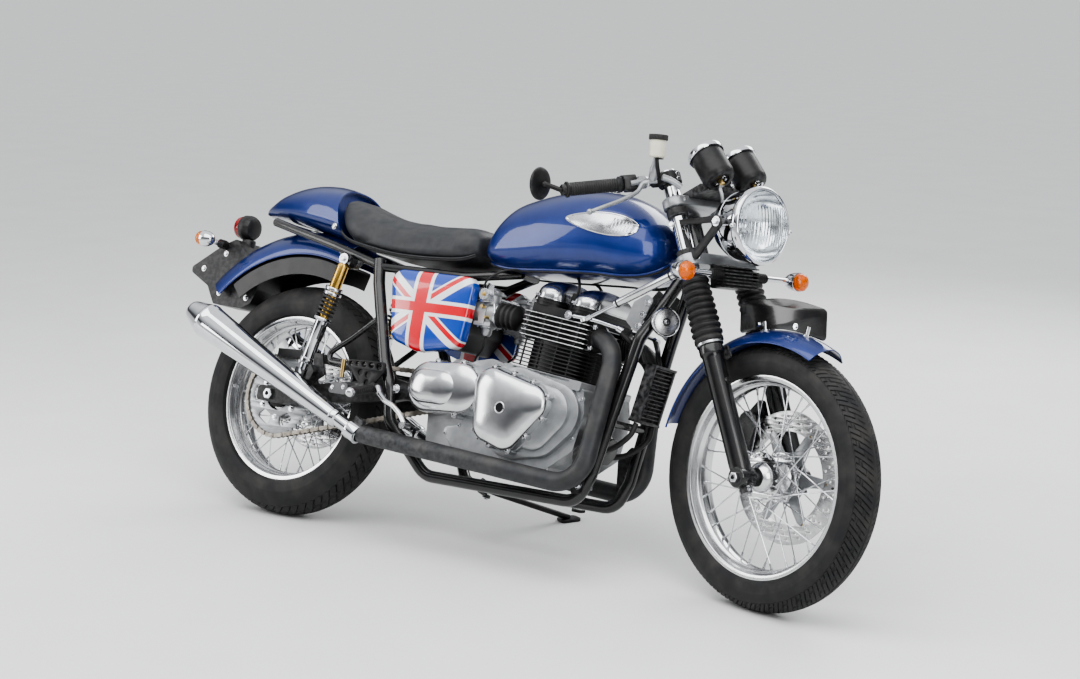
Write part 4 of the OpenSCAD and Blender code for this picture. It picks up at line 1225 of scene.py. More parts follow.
def along_outline(outline, count, start=0.0, inset=0.0):
    """Evenly spaced places round an outline, drawn in a little towards its middle."""
    closed = [Vector(p) for p in outline] + [Vector(outline[0])]
    middle = sum((Vector(p) for p in outline), Vector((0, 0))) / len(outline)
    lengths = [0.0]
    for a, b in zip(closed, closed[1:]):
        lengths.append(lengths[-1] + (b - a).length)
    places, k = [], 0
    for i in range(count):
        want = lengths[-1] * (i + start) / count
        while lengths[k + 1] < want:
            k += 1
        p = closed[k].lerp(closed[k + 1], (want - lengths[k]) / (lengths[k + 1] - lengths[k]))
        places.append(tuple(p + (middle - p).normalized() * inset))
    return places


# %% Crankcase
CASE_HALF = 118
case = Shape(UPRIGHT)
case.add(flat_plate([(640, 245), (640, 486), (700, 500), (770, 484), (985, 458), (1000, 395),
                             (985, 300), (905, 236), (665, 226)], 16, 0, 2 * CASE_HALF - 8), SILVER)
case.add(flat_plate([(508, 262), (492, 420), (560, 490), (660, 486), (660, 238), (560, 225)], 18, 0, 150),
         CAST)
case.both(flat_plate([(744, 470), (980, 448), (984, 472), (744, 494)], 6, 60, 128), SILVER)
front_case = rounded_hull([(800, 412), (918, 386), (880, 345), (800, 330)], 76)
case.add(domed(front_case, 12, 8, 5, 6), SILVER, on_right(CASE_HALF - 6))
case.add(domed(rounded_hull([(800, 405), (905, 388), (870, 345)], 62), 18, 14, 3, 8), SILVER,
         on_right(CASE_HALF - 2))
low_plate = rounded_hull([(600, 300), (694, 322), (684, 262), (640, 252)], 14)
case.add(domed(low_plate, 34, 4, 6, 5), SILVER, on_right(74))
studs(case, along_outline(low_plate, 6, 0.5, 5), 110, -1, STEEL, 4.5, 8, 30, SILVER)
for k in range(13):
    x = 738 + 15 * k
    case.add(flat_plate([(x, 214), (x + 5, 214), (x + 5, 262), (x, 262)], 1.5, 0, 226, 2), CAST)
case.add(flat_plate([(700, 222), (930, 222), (930, 214), (700, 214)], 3, 0, 150, 3), CAST)
case.add(turned([(0.1, 0), (36, 0), (38, 4), (38, 60), (34, 68), (0.1, 70)], 40), GLOSS_BLACK,
         facing((975, -30, 330), (1, 0, -0.25)))
for side in SIDES:
    for x, z in ((985, 430), (978, 330), (700, 236), (860, 232)):
        case.add(bolt((x, side * 110, z), (0, side, 0), 6, 6), STEEL)
case.make("crankcase_castings", "frame", ["crankcase"], "cast_alloy", round_edges=1.5)

# %% Polished covers
covers = Shape(UPRIGHT)
clutch = rounded_hull([(752, 425), (872, 398), (812, 322), (764, 335)], 50)
covers.add(domed(clutch, 46, 30, 2.7, 18, (800, 380)), POLISHED, on_right(CASE_HALF))
clutch_rim = rounded_hull([(752, 425), (872, 398), (812, 322), (764, 335)], 53)
covers.add(domed(clutch_rim, 24, 3, 8, 4, (800, 380)), SILVER, on_right(CASE_HALF))
studs(covers, along_outline(clutch, 11, 0.4, -1), 164, -1, POLISHED, 5, 8.5, 44)
covers.add(turned([(0.1, 0), (15, 0), (15, 2.2), (13, 3.2), (12, 2), (0.1, 2)], 48), CHROME,
           on_right(191.8) @ shift(802, 376, 0))
covers.add(turned([(0.1, 2.4), (11.6, 2.4), (11.6, 2)], 48), GLOSS_BLACK,
           on_right(191.8) @ shift(802, 376, 0))
sprocket_side = rounded_hull([(546, 403), (640, 410)], 66)
covers.add(domed(sprocket_side, 40, 26, 2.3, 16, (590, 405)), POLISHED, on_right(112))
covers.add(domed(rounded_hull([(540, 403), (600, 404)], 45), 20, 22, 2.4, 14, (566, 403)), POLISHED,
           on_right(146))
studs(covers, [(640, 476), (697, 440), (694, 372), (640, 342), (560, 470)], 154, -1, POLISHED, 5, 9, 40)
alternator = rounded_hull([(835, 388)], 92)
covers.add(domed(alternator, 30, 26, 2.6, 14), POLISHED, on_left(CASE_HALF))
covers.add(domed(rounded_hull([(835, 388)], 48), 10, 8, 4, 8), POLISHED, on_left(CASE_HALF + 46))
studs(covers, along_outline(alternator, 9, 0.3, 2), 148, 1, POLISHED, 5, 9, 28)
covers.add(domed(rounded_hull([(560, 402), (650, 405)], 60), 24, 12, 3, 10), POLISHED, on_left(112))
studs(covers, along_outline(rounded_hull([(560, 402), (650, 405)], 60), 7, 0.2, 3), 136, 1, POLISHED,
      5, 9, 22)
covers.make("polished_covers", "frame", ["engine_covers"], "polished_alloy", round_edges=1.0)

# %% [markdown]
# ## Cylinders and head
#
# An air-cooled engine is mostly fins. Each fin is one flat plate with round corners, and the
# head's fins carry a second, thinner plate whose edge is left bright, as if skimmed.

# %% Finned cylinders
CYLINDERS_AT = shift(858, 0, 470) @ turn_by(6, "Y")


def fin(half_x, half_y, r, thick):
    corners = [(-half_x, -half_y), (half_x, -half_y), (half_x, half_y), (-half_x, half_y)]
    return drilled([round_outline(corners, r, 5)], thick, 0.8)


def up_cylinders(z, x=0.0, y=0.0):
    return CYLINDERS_AT @ shift(x, y, z)


barrels = Shape(UPRIGHT)
for side in SIDES:
    barrels.add(turned([(0.1, 8), (86, 8), (86, 92), (0.1, 92)], 64), FIN_BLACK,
                up_cylinders(0, 0, side * 36))
barrels.add(block((-84, -60, 8), (84, 60, 90)), FIN_BLACK, CYLINDERS_AT)
for k in range(8):
    barrels.add(fin(105, 126, 30, 3.2), FIN_BLACK, up_cylinders(18 + 9.4 * k))
for x in (-70, -22, 26, 72):
    barrels.both(rod((x, 121, 16), (x, 121, 88), 2.6, 10), FIN_BLACK, CYLINDERS_AT)
barrels.add(fin(104, 124, 16, 8), SILVER, up_cylinders(10))
barrels.make("finned_cylinders", "frame", ["cylinder_block"], "cylinder_black", round_edges=0)

head = Shape(UPRIGHT)
head.add(block((-86, -108, 88), (86, 108, 180)), FIN_BLACK, CYLINDERS_AT)
for k in range(6):
    head.add(fin(101, 125, 14, 4.4), FIN_BLACK, up_cylinders(95 + 12 * k))
    head.add(fin(101.7, 125.7, 14.5, 2.0), FIN_EDGE, up_cylinders(95 + 12 * k))
for x in (-78, -30, 20, 74):
    head.both(slab([(x - 2, 92), (x + 3, 92), (x + 3, 158), (x - 2, 158)], 122, 4), FIN_BLACK,
              CYLINDERS_AT)
head.both(rod((88, 72, 128), (104, 72, 128), 34, 40), FIN_BLACK, CYLINDERS_AT)
for z in (102, 154):
    for dy in (-26, 26):
        head.both(bolt((103, 72 + dy, z), (1, 0, 0), 6, 7), STEEL, CYLINDERS_AT)
head.both(rod((-96, 72, 142), (-84, 72, 142), 30, 32), SILVER, CYLINDERS_AT)
head.make("finned_head", "frame", ["cylinder_head"], "cylinder_black", round_edges=0)

# %% Cam domes
cams = Shape(UPRIGHT)
for x in (-56, 56):
    foot = rounded_hull([(0, -74), (0, 74)], 39)
    cams.add(domed(foot, 17, 1, 8, 3), FIN_BLACK, up_cylinders(178, x))
    cams.add(domed(rounded_hull([(0, -74), (0, 74)], 41), 3, 0.5, 8, 3), FIN_BLACK, up_cylinders(186, x))
    hat = rounded_hull([(0, -76), (0, 76)], 38)
    cams.add(domed(hat, 10, 46, 2.15, 16), POLISHED, up_cylinders(196, x))
    cams.add(domed(rounded_hull([(0, -76), (0, 76)], 40.5), 3, 1, 6, 3), POLISHED, up_cylinders(196, x))
    for side in SIDES:
        for dx in (-30, 30):
            cams.add(bolt((dx, side * 104, 200), (0, 0, 1), 4.5, 6), STEEL, up_cylinders(0, x))
for side in SIDES:
    cams.add(rod((0, side * 62, 176), (4, side * 62, 226), 11, 24), SOFT_RUBBER, CYLINDERS_AT)
    cams.add(swept(smooth_path([(4, side * 62, 220), (4, side * 60, 240), (-10, side * 50, 262),
                                (-40, side * 30, 276)]), 4, 12), SOFT_RUBBER, CYLINDERS_AT)
cams.make("cam_domes", "frame", ["cam_cover"], "polished_alloy", round_edges=0.6)

# %% [markdown]
# ## Carburettors
#
# Small parts decide whether this corner looks real: ribbed rubber stubs, the slide body with
# its cap, a float bowl with screws, brass unions and a throttle quadrant with its cable.

# %% Carburettors
BRASS = finish("brass", (0.50, 0.36, 0.14), (0.60, 0.44, 0.20), 0.3, 0.15, metallic=1.0, dust=0.1)
carbs = Shape(UPRIGHT)
for side in SIDES:
    intake = Vector((574, side * 76, 622))
    run = Vector((748, side * 76, 612)) - intake
    tube_at = facing(intake, run)
    rings = []
    for k in range(4):
        rings += [(27, 100 + 16 * k), (33, 104 + 16 * k), (33, 109 + 16 * k), (27, 113 + 16 * k)]
    carbs.add(turned([(0.1, 100)] + rings + [(0.1, 174)], 40), SOFT_RUBBER, tube_at)
    carbs.add(turned([(0.1, -8), (31, -8), (31, 0), (27, 3), (31, 8), (31, 14), (27, 17), (31, 22),
                      (31, 28), (25, 30), (0.1, 30)], 40), SOFT_RUBBER, tube_at)
    for z in (24, 98):
        carbs.add(turned(ring_of([(31, z), (34.2, z), (34.2, z + 6), (31, z + 6)]), 40), STEEL, tube_at)
        carbs.add(rod((634 - 62 + z, side * 106, 640), (634 - 54 + z, side * 110, 616), 3.2, 8), STEEL)
    carbs.add(turned([(0.1, 28), (27, 28), (29, 34), (29, 94), (26, 100), (0.1, 100)], 40), CAST, tube_at)
    top = Vector((640, side * 76, 622))
    carbs.add(turned([(0.1, 62), (13, 62), (18, 56), (26, 54), (26, 44), (22, 42), (22, 0), (25, -2),
                      (25, -34), (19, -44), (14, -46), (13, -58), (9, -64), (0.1, -64)], 40), CAST,
              Matrix.Translation(top))
    carbs.add(block((-26, -30, -40), (26, 26, -30)), CAST, Matrix.Translation(top))
    carbs.add(block((-23, -27, 44), (23, 27, 50)), CAST, Matrix.Translation(top))
    for dx in (-18, 18):
        for dy in (-20, 20):
            carbs.add(bolt(top + Vector((dx, dy, 50)), (0, 0, 1), 3.2, 4), STEEL)
            carbs.add(bolt(top + Vector((dx, dy, -40)), (0, 0, -1), 3.2, 4), STEEL)
    out = Vector((0, side, 0))
    union = top + Vector((0, 0, 8))
    carbs.add(rod(union + out * 20, union + out * 44, 5, 12), BRASS)
    jet = top + Vector((14, 0, -18))
    carbs.add(rod(jet + out * 16, jet + out * 42, 4, 6), BRASS)
    carbs.add(flat_plate([(622, 640), (668, 646), (660, 688), (640, 694)], 5, side * 108, 3),
              STEEL)
    carbs.add(flat_plate([(628, 586), (646, 586), (648, 634), (626, 634)], 3, side * 106, 4),
              CAST)
    carbs.add(turned([(0.1, 0), (15, 0), (15, 4), (12, 4), (12, 8), (15, 8), (15, 12), (0.1, 12)], 32),
              STEEL, facing(top + out * 34 + Vector((2, 0, 40)), out))
    carbs.add(bolt(top + out * 46 + Vector((2, 0, 40)), out, 4.5, 5), BRASS)
    carbs.add(swept(smooth_path([top + out * 40 + Vector((-8, 0, 52)), top + out * 40 + Vector((6, 0, 82)),
                                 top + out * 20 + Vector((50, 0, 112)),
                                 top + Vector((110, -side * 30, 118))]), 3, 10), SOFT_RUBBER)
    carbs.add(swept(smooth_path([top + Vector((0, 0, -62)), top + Vector((-4, 0, -96)),
                                 top + Vector((-30, -side * 12, -130)),
                                 top + Vector((-40, -side * 30, -190))]), 3.2, 10), SOFT_RUBBER)
carbs.add(rod((640, -76, 660), (640, 76, 660), 5, 12), STEEL)
carbs.make("carburettors_detailed", "frame", ["carburettors"], "cast_alloy", round_edges=0.5, segments=1)

box = Shape(UPRIGHT)
box.add(flat_plate([(405, 530), (405, 680), (560, 688), (573, 640), (573, 560), (540, 512)], 14, 0, 190),
        PLASTIC)
for k in range(5):
    box.both(slab([(420 + 28 * k, 540), (426 + 28 * k, 540), (426 + 28 * k, 670), (420 + 28 * k, 670)],
                  94.5, 4), PLASTIC)
box.make("airbox_moulding", "frame", ["airbox"], "satin_black", round_edges=3)

# %% [markdown]
# ## Exhaust
#
# Each header is one bent pipe. The silencer is a long cone that swells and then closes
# sharply, so it is turned in one go about the line from its neck to its tip.

# %% Headers
HEADER = [(956, 72, 588), (1052, 100, 590), (1046, 152, 214), (374, 178, 253)]
headers = Shape(UPRIGHT)
headers.both(swept(rounded_path(HEADER, 78, 6), 24, 40), EXHAUST)
port_at = facing(Vector(HEADER[0]), Vector(HEADER[1]) - Vector(HEADER[0]))
port = []
for k in range(4):
    port += [(27, 4 + 6 * k), (37, 4.8 + 6 * k), (37, 7 + 6 * k), (27, 7.8 + 6 * k)]
headers.both(turned([(20, 0), (37, 0)] + port + [(24.2, 30)], 48), FIN_BLACK, port_at)
headers.make("header_pipes", "frame", ["exhaust_headers"], "matt_exhaust", round_edges=0)

# %% Silencers
NECK = Vector((286, 185, 284))
TIP = Vector((-272, 202, 515))
length = (TIP - NECK).length
wide = 0.887 * length
can = [(19, -94), (19, -12), (24, -9), (26, -3), (26, 5), (24, 8), (24.6, 12)]
can += [(24.6 + 24.4 * (z / wide) ** 1.06, z) for z in (wide * k / 24 for k in range(2, 24))]
can += [(49, wide - 5), (50, wide - 3), (50, wide + 3), (48.6, wide + 5), (47, wide + 9),
        (31, length - 10), (27.5, length - 2), (25.5, length), (22.5, length - 1.5), (21, length - 12),
        (20, length - 80)]
cans = Shape(UPRIGHT)
can_at = facing(NECK, TIP - NECK)
cans.both(turned(can, 96), CHROME, can_at)
# A black disc closes each outlet 78 mm in: painted shade for the dark inside of the pipe.
cans.both(turned([(0.1, length - 78), (21, length - 78)], 48), FIN_BLACK, can_at)
cans.both(turned(ring_of([(19.2, -92), (26, -92), (26.5, -88), (26.5, -62), (26, -58), (19.2, -58)]), 48),
          CHROME, can_at)
cans.both(block((-7, 22, -90), (7, 40, -60)), SATIN_BLACK, can_at)
for z in (-83, -67):
    cans.both(bolt((8, 33, z), (1, 0, 0), 5, 6), STEEL, can_at)
cans.both(flat_plate([(150, 372), (166, 372), (176, 396), (156, 420)], 4, 164, 24),
          SATIN_BLACK)
cans.make("chrome_silencers", "frame", ["silencers"], "chrome", round_edges=0.6, crease=25)

# %% [markdown]
# ## Oil cooler, pipes and horn
#
# The cooler is a stack of thin flattened tubes. Its pipes cross the front of the engine in
# steel and rubber, and break up what would be an empty corner.

# %% Oil cooler and pipes
cooler = Shape(UPRIGHT)
cooler_at = shift(1092, -52, 400) @ turn_by(9, "Y")
cooler.add(block((0, 0, 0), (28, 8, 150)), SATIN_BLACK, cooler_at)
cooler.add(block((0, 96, 0), (28, 104, 150)), SATIN_BLACK, cooler_at)
for k in range(15):
    cooler.add(block((3, 6, 5 + 9.6 * k), (25, 98, 8 + 9.6 * k)), SATIN_BLACK, cooler_at)
for k in range(30):
    cooler.add(block((6, 9 + 3 * k, 4), (22, 9.5 + 3 * k, 146)), SATIN_BLACK, cooler_at)
for z in (0, 144):
    cooler.add(block((-2, 0, z), (30, 104, z + 6)), SATIN_BLACK, cooler_at)
for side in SIDES:
    feed = [(1100, side * 40, 545), (1085, side * 48, 575), (1068, side * 70, 590),
            (1040, side * 96, 618), (985, side * 118, 628), (922, side * 124, 632)]
    cooler.add(swept(smooth_path(feed[:4]), 7, 16), SOFT_RUBBER)
    cooler.add(swept(smooth_path(feed[3:]), 5.5, 16), STEEL)
    cooler.add(rod(feed[3], Vector(feed[3]) + Vector((12, -side * 6, -6)), 9, 20), STEEL)
    cooler.add(rod((918, side * 118, 632), (918, side * 136, 632), 10, 24), STEEL)
    cooler.add(bolt((918, side * 136, 632), (0, side, 0), 8, 8), STEEL)
    cooler.add(swept(smooth_path([(1108, side * 40, 396), (1098, side * 46, 360), (1050, side * 50, 320),
                                  (980, side * 60, 300)]), 7, 16), SOFT_RUBBER)
cooler.make("oil_cooler_and_pipes", "frame", ["oil_cooler"], "satin_black", round_edges=0.4)

# %% Horn and engine brackets
horn = Shape(UPRIGHT)
horn_at = facing((1150, -62, 650), (cos(radians(38)), -sin(radians(38)), 0))
horn.add(turned([(0.1, -14), (16, -14), (24, 0), (34, 1), (36, 3), (36, 12), (34, 14), (33, 12.5),
                 (29, 12), (20, 13.5), (9, 14), (9, 16), (0.1, 16)], 64), PLASTIC, horn_at)
horn.add(turned([(36.2, 3), (37, 6), (36.6, 11), (34, 14.6), (32.5, 14)], 64), CHROME, horn_at)
horn.add(turned([(32, 12.8), (28, 12.5), (20, 14.2), (10, 14.8)], 64), FIN_EDGE, horn_at)
horn.add(bolt((0, 0, 15.5), (0, 0, 1), 5, 4), STEEL, horn_at)
horn.add(rod((1143, -56, 650), (1105, -62, 655), 6, 16), SATIN_BLACK)
horn.both(flat_plate([(1088, 612), (1120, 700), (1100, 712), (1066, 690), (1052, 640)], 8, 79, 5), SILVER)
for x, z in ((1107, 690), (1098, 660), (1090, 632)):
    horn.both(bolt((x, 82, z), (0, 1, 0), 7.5, 6), STEEL)
horn.both(flat_plate([(1000, 196), (1030, 200), (1046, 330), (1020, 342), (986, 300)], 8, 110, 5),
          SATIN_BLACK)
for x, z in ((1018, 220), (1030, 318)):
    horn.both(bolt((x, 113, z), (0, 1, 0), 7.5, 6), STEEL)
horn.make("horn_and_brackets", "frame", ["horn"], "instrument_black", round_edges=0.5)

# %% [markdown]
# ## Painted bodywork
#
# A tank is beaten over ribs, and the same idea works here: a short table says how wide, how
# low and how high the shape is at each rib, and a smooth curve runs between the ribs. The
# widest line lies low, as on the real tank, so the shoulders roll over and the sides tuck in.

# %% Ribs into skins
def power(value, exponent):
    return copysign(abs(value) ** exponent, value)


def rib(x, half, low, high, square, hip, sides, slope):
    waist = low + hip * (high - low)
    ring = []
    for j in range(sides):
        a = 2 * pi * j / sides
        up = power(sin(a), 2 / square)
        z = waist + up * ((high - waist) if up > 0 else (waist - low))
        ring.append((x + slope * (high - z), half * power(cos(a), 2 / square), z))
    return ring


def ribbed(table, steps=5, square=2.6, hip=0.42, sides=56):
    """Rings between the ribs of a table of (x, half width, low, high, slope)."""
    rows = smooth_path([Vector(row[:4]) for row in table], steps)
    slopes = smooth_path([Vector((row[4] if len(row) > 4 else 0, 0, 0)) for row in table], steps)
    return [rib(*row, square, hip, sides, slope.x) for row, slope in zip(rows, slopes)], rows


# Catmull-Rom needs no more than vectors, so a rib's four numbers can ride in one of them
TANK = [(590, 44, 780, 800), (596, 76, 760, 812), (608, 94, 750, 836), (632, 108, 740, 878),
        (670, 118, 733, 914), (730, 129, 732, 938), (800, 141, 735, 956), (880, 150, 738, 967),
        (960, 154, 741, 964), (1020, 149, 741, 949), (1072, 133, 750, 920), (1106, 108, 768, 886),
        (1124, 80, 788, 862), (1131, 50, 806, 842)]
tank_rings, tank_rows = ribbed(TANK, 6, 2.55, 0.40, 72)
tank = Shape(UPRIGHT)
tank.add(lofted(tank_rings), BLUE)
for side in SIDES:
    seam = []
    for x, half, low, high in tank_rows[4:-4]:
        waist = low + 0.40 * (high - low)
        a = radians(-56)
        up = power(sin(a), 2 / 2.55)
        seam.append((x, side * (half * power(cos(a), 2 / 2.55) + 2.5), waist + up * (waist - low) - 2))
    tank.add(swept(seam, 3.4, 12), BLUE)
    tank.add(swept([(x, y - side * 5, z - 3) for x, y, z in seam], 4.5, 10), PLASTIC)


# %% Tank badge, cap and tap
def tank_side(x, z):
    """How far out the tank's side is at a point of its profile."""
    row = min(tank_rows, key=lambda r: abs(r[0] - x))
    nearby = [r for r in tank_rows if r is not row]
    other = min(nearby, key=lambda r: abs(r[0] - x))
    t = (x - row[0]) / (other[0] - row[0])
    half, low, high = (row[k] + t * (other[k] - row[k]) for k in (1, 2, 3))
    waist = low + 0.40 * (high - low)
    up = abs(z - waist) / ((high - waist) if z > waist else (waist - low))
    return half * (1 - min(up, 0.999) ** 2.55) ** (1 / 2.55)


def drop_outline(length, height, steps=72):
    """A plain teardrop that leans slightly forwards."""
    outline = []
    for i in range(steps):
        a = 2 * pi * i / steps
        x = 0.5 * length * cos(a)
        z = 0.5 * height * sin(a) * (1 + 0.36 * cos(a))
        outline.append((x, z))
    return outline


def badge_ring(scale, lift):
    tilt = radians(-3)
    ring = []
    for u, v in drop_outline(206, 56):
        x = 968 + scale * (u * cos(tilt) - v * sin(tilt))
        z = 868 + scale * (u * sin(tilt) + v * cos(tilt))
        ring.append((x, tank_side(x, z) + lift, z))
    return ring


badge = Shape(UPRIGHT)
badge.both(lofted([badge_ring(1.0, -3), badge_ring(1.0, 2.6), badge_ring(0.985, 3.6),
                   badge_ring(0.93, 3.6), badge_ring(0.90, 1.8)], caps=False), CHROME)
badge.both(lofted([badge_ring(0.90, 1.8)] + [badge_ring(0.9 - 0.12 * k, 1.8 + 0.25 * k)
                                            for k in range(1, 7)] + [badge_ring(0.04, 3.4)]), STEEL)
for k in range(8):
    x = 1008 + 8 * k
    half = 18 - 1.2 * k
    bar_line = [(x + 0.1 * dz, tank_side(x, 868 + dz) + 3.4, 865 + dz)
                for dz in (-half, -half / 2, 0, half / 2, half)]
    badge.both(swept(bar_line, 1.5, 8), CHROME)
badge.make("tank_badges", "frame", slot="chrome", round_edges=0)
tank.make("fuel_tank_skin", "frame", ["fuel_tank"], "blue_paint", round_edges=0, crease=60)

cap = Shape(UPRIGHT)
cap_at = shift(880, 0, 964) @ turn_by(1.5, "Y")
cap.add(turned([(0.1, 0), (42, 0), (42, 3), (38, 5), (34, 5), (34, 12), (32, 15), (28, 16), (27, 18),
                (24, 21), (10, 22.4), (0.1, 22.6)], 72), CHROME, cap_at)
for k in range(24):
    angle = 2 * pi * k / 24
    cap.add(rod((34 * cos(angle), 34 * sin(angle), 5),
                (34 * cos(angle), 34 * sin(angle), 12), 1.6, 8), CHROME, cap_at)
cap.add(turned([(0.1, 22), (7, 22), (7, 24), (5.5, 25), (0.1, 25)], 32), STEEL, cap_at)
cap.make("filler_cap", "frame", ["fuel_cap"], "chrome", round_edges=0.4)

# %% [markdown]
# ## The seat
#
# The seat is foam under stretched vinyl, and that is hard to fake: it swells between its
# edges. So it starts a little thin, is turned into an even skin, and is blown up by the cloth
# solver with its underside pinned. The travel is capped, so that it keeps its real size.

# %% Seat blank
SEAT = [(100, 98, 806, 882, 0.18), (124, 110, 776, 882, 0.10), (170, 122, 756, 868), (240, 126, 743, 849),
        (330, 125, 732, 836), (430, 121, 731, 832), (520, 113, 737, 835), (560, 103, 748, 833),
        (578, 88, 762, 823)]
seat_rings, seat_rows = ribbed(SEAT, 6, 3.0, 0.45, 56)
SEAT_TRAVEL = 6.0


def blown_up(piece, pinned, travel):
    """Swells a closed skin with the cloth solver, by no more than a distance."""
    scene = bpy.context.scene
    group = piece.vertex_groups.new(name="pinned")
    group.add([v.index for v in piece.data.vertices if pinned(v.co)], 1.0, "REPLACE")
    cloth = piece.modifiers.new("swell", "CLOTH")
    cloth.settings.quality = 4
    cloth.settings.mass = 0.3
    cloth.settings.tension_stiffness = 18
    cloth.settings.compression_stiffness = 18
    cloth.settings.bending_stiffness = 0.6
    cloth.settings.use_pressure = True
    cloth.settings.uniform_pressure_force = 4
    cloth.settings.effector_weights.gravity = 0
    cloth.settings.vertex_group_mass = "pinned"
    cloth.point_cache.frame_start, cloth.point_cache.frame_end = 1, 20
    for f in range(1, 21):
        scene.frame_set(f)
    solved = piece.evaluated_get(bpy.context.evaluated_depsgraph_get()).to_mesh()
    moves = [s.co - v.co for s, v in zip(solved.vertices, piece.data.vertices)]
    for v, move in zip(piece.data.vertices, moves):
        v.co += move * min(1.0, travel / max(move.length, 1e-9))
    piece.modifiers.remove(cloth)
    scene.frame_set(1)
    return max(move.length for move in moves)


seat = Shape(UPRIGHT)
seat.add(lofted(seat_rings), VINYL)
seat_piece = seat.make("padded_seat", "frame", ["seat"], "seat_vinyl", round_edges=0, crease=180)
skin = seat_piece.modifiers.new("even skin", "REMESH")
skin.mode = "VOXEL"
skin.voxel_size = 0.008
even = bpy.data.meshes.new_from_object(seat_piece.evaluated_get(bpy.context.evaluated_depsgraph_get()))
seat_piece.modifiers.remove(skin)
seat_piece.data = even
if not even.materials:
    even.materials.append(VINYL)
to_upright = UPRIGHT.inverted()
swelled = blown_up(seat_piece, lambda co: (to_upright @ co).z < 762, SEAT_TRAVEL * MM)
print("the seat swelled", round(swelled * 1000, 1), "mm before the cap")

# %% Pleats and seat base
for v in even.vertices:
    at = to_upright @ v.co
    over = max(0.0, min(1.0, (at.z - 800) / 30)) * max(0.0, 1 - abs(at.x - 300) / 190)
    shoulder = max(0.0, 1 - abs(abs(at.y) - 88) / 46)
    ripple = sin(at.x / 7.5 + 0.03 * abs(at.y)) * 0.9 * over * shoulder
    soft = 1.3 * noise.noise(at * 0.02)
    v.co += v.normal * (ripple + soft) * MM
even.polygons.foreach_set("use_smooth", [True] * len(even.polygons))
smooth = seat_piece.modifiers.new("smooth", "SUBSURF")
smooth.levels = smooth.render_levels = 1

base = Shape(UPRIGHT)
edge = [(x, 0.90 * half, low + 7) for x, half, low, high in seat_rows[4:-3]]
base.both(swept(edge, 4.2, 10), SOFT_RUBBER)
base.both(swept([(x, y + 4.5, z + 4) for x, y, z in edge], 2.2, 10), VINYL)
base.make("seat_base_edge", "frame", slot="seat_vinyl", round_edges=0)

# %% Seat cowl
COWL = [(-226, 22, 824, 836, 0.0), (-214, 38, 820, 850, 0.0), (-190, 53, 817, 866, 0.0),
        (-150, 72, 813, 889, 0.02), (-90, 92, 803, 911, 0.08), (-30, 106, 792, 923, 0.16),
        (26, 113, 779, 925, 0.24), (62, 117, 770, 921, 0.28), (84, 118.5, 764, 915, 0.30)]
cowl_rings, _ = ribbed(COWL, 6, 2.35, 0.36, 72)
cowl = Shape(UPRIGHT)
front_ring = [Vector(p) for p in cowl_rings[-1]]
middle = sum(front_ring, Vector()) / len(front_ring)
inner = [middle + 0.955 * (p - middle) + Vector((-1, 0, 0)) for p in front_ring]
deep = [middle + 0.93 * (p - middle) + Vector((-16, 0, 0)) for p in front_ring]
cowl.add(lofted(cowl_rings + [inner, deep]), BLUE)
cowl.both(turned([(0.1, 0), (9, 0), (9, 2), (7, 3.4), (3.4, 3.8), (3.4, 2.6), (0.1, 2.6)], 32), STEEL,
          on_left(116.5) @ shift(104, 800, 0))
cowl.make("seat_cowl_skin", "frame", ["seat_cowl"], "blue_paint", round_edges=0, crease=38)

# %% [markdown]
# ## Side panels
#
# The flag on each panel is painted by arithmetic. Points on the panel are turned back into
# workshop millimetres, and a few distances from two lines and two diagonals say which of
# three paints a point gets. Nothing is drawn by hand and no picture is needed.

# %% Flag paint
FLAG_MIDDLE = (466, 606)
FLAG_SLOPE = atan2(190, 276)


def pick(tree, mask, a, b):
    return mix_colour(tree, mask, a, b)


def flag_paint():
    material = finish("flag paint", (0.010, 0.05, 0.33), (0.012, 0.06, 0.38), 0.22, 0.1, dust=0.02,
                      Coat_Weight=1.0, Coat_Roughness=0.03)
    tree = material.node_tree
    shader = tree.nodes["Principled BSDF"]
    blue = shader.inputs["Base Color"].links[0].from_socket
    place, turn, size = UPRIGHT.inverted().decompose()
    mapping = node(tree, "Mapping", Location=place, Rotation=turn.to_euler(), Scale=size)
    tree.links.new(tree.nodes.new("ShaderNodeTexCoord").outputs["Object"], mapping.inputs["Vector"])
    split = tree.nodes.new("ShaderNodeSeparateXYZ")
    tree.links.new(mapping.outputs[0], split.inputs[0])
    u = math_node(tree, "SUBTRACT", split.outputs["X"], FLAG_MIDDLE[0])
    v = math_node(tree, "SUBTRACT", split.outputs["Z"], FLAG_MIDDLE[1])
    colour = blue
    white = (0.78, 0.79, 0.81, 1)
    red = (0.62, 0.012, 0.022, 1)
    for slope in (FLAG_SLOPE, -FLAG_SLOPE):
        along = math_node(tree, "ADD", math_node(tree, "MULTIPLY", u, cos(slope)),
                          math_node(tree, "MULTIPLY", v, sin(slope)))
        off = math_node(tree, "SUBTRACT", math_node(tree, "MULTIPLY", v, cos(slope)),
                        math_node(tree, "MULTIPLY", u, sin(slope)))
        turned_off = math_node(tree, "MULTIPLY", off, math_node(tree, "SIGN", along))
        colour = pick(tree, span(tree, math_node(tree, "ABSOLUTE", off), 18.3, 17.7), colour, white)
        stripe = math_node(tree, "ABSOLUTE", math_node(tree, "SUBTRACT", turned_off, 6.5))
        colour = pick(tree, span(tree, stripe, 6.8, 6.2), colour, red)
    near = math_node(tree, "MINIMUM", math_node(tree, "SUBTRACT", math_node(tree, "ABSOLUTE", u), 9.0),
                     math_node(tree, "ABSOLUTE", v))
    colour = pick(tree, span(tree, near, 21.8, 21.2), colour, white)
    near = math_node(tree, "MINIMUM", math_node(tree, "SUBTRACT", math_node(tree, "ABSOLUTE", u), 7.0),
                     math_node(tree, "ABSOLUTE", v))
    colour = pick(tree, span(tree, near, 12.8, 12.2), colour, red)
    tree.links.new(colour, shader.inputs["Base Color"])
    return material


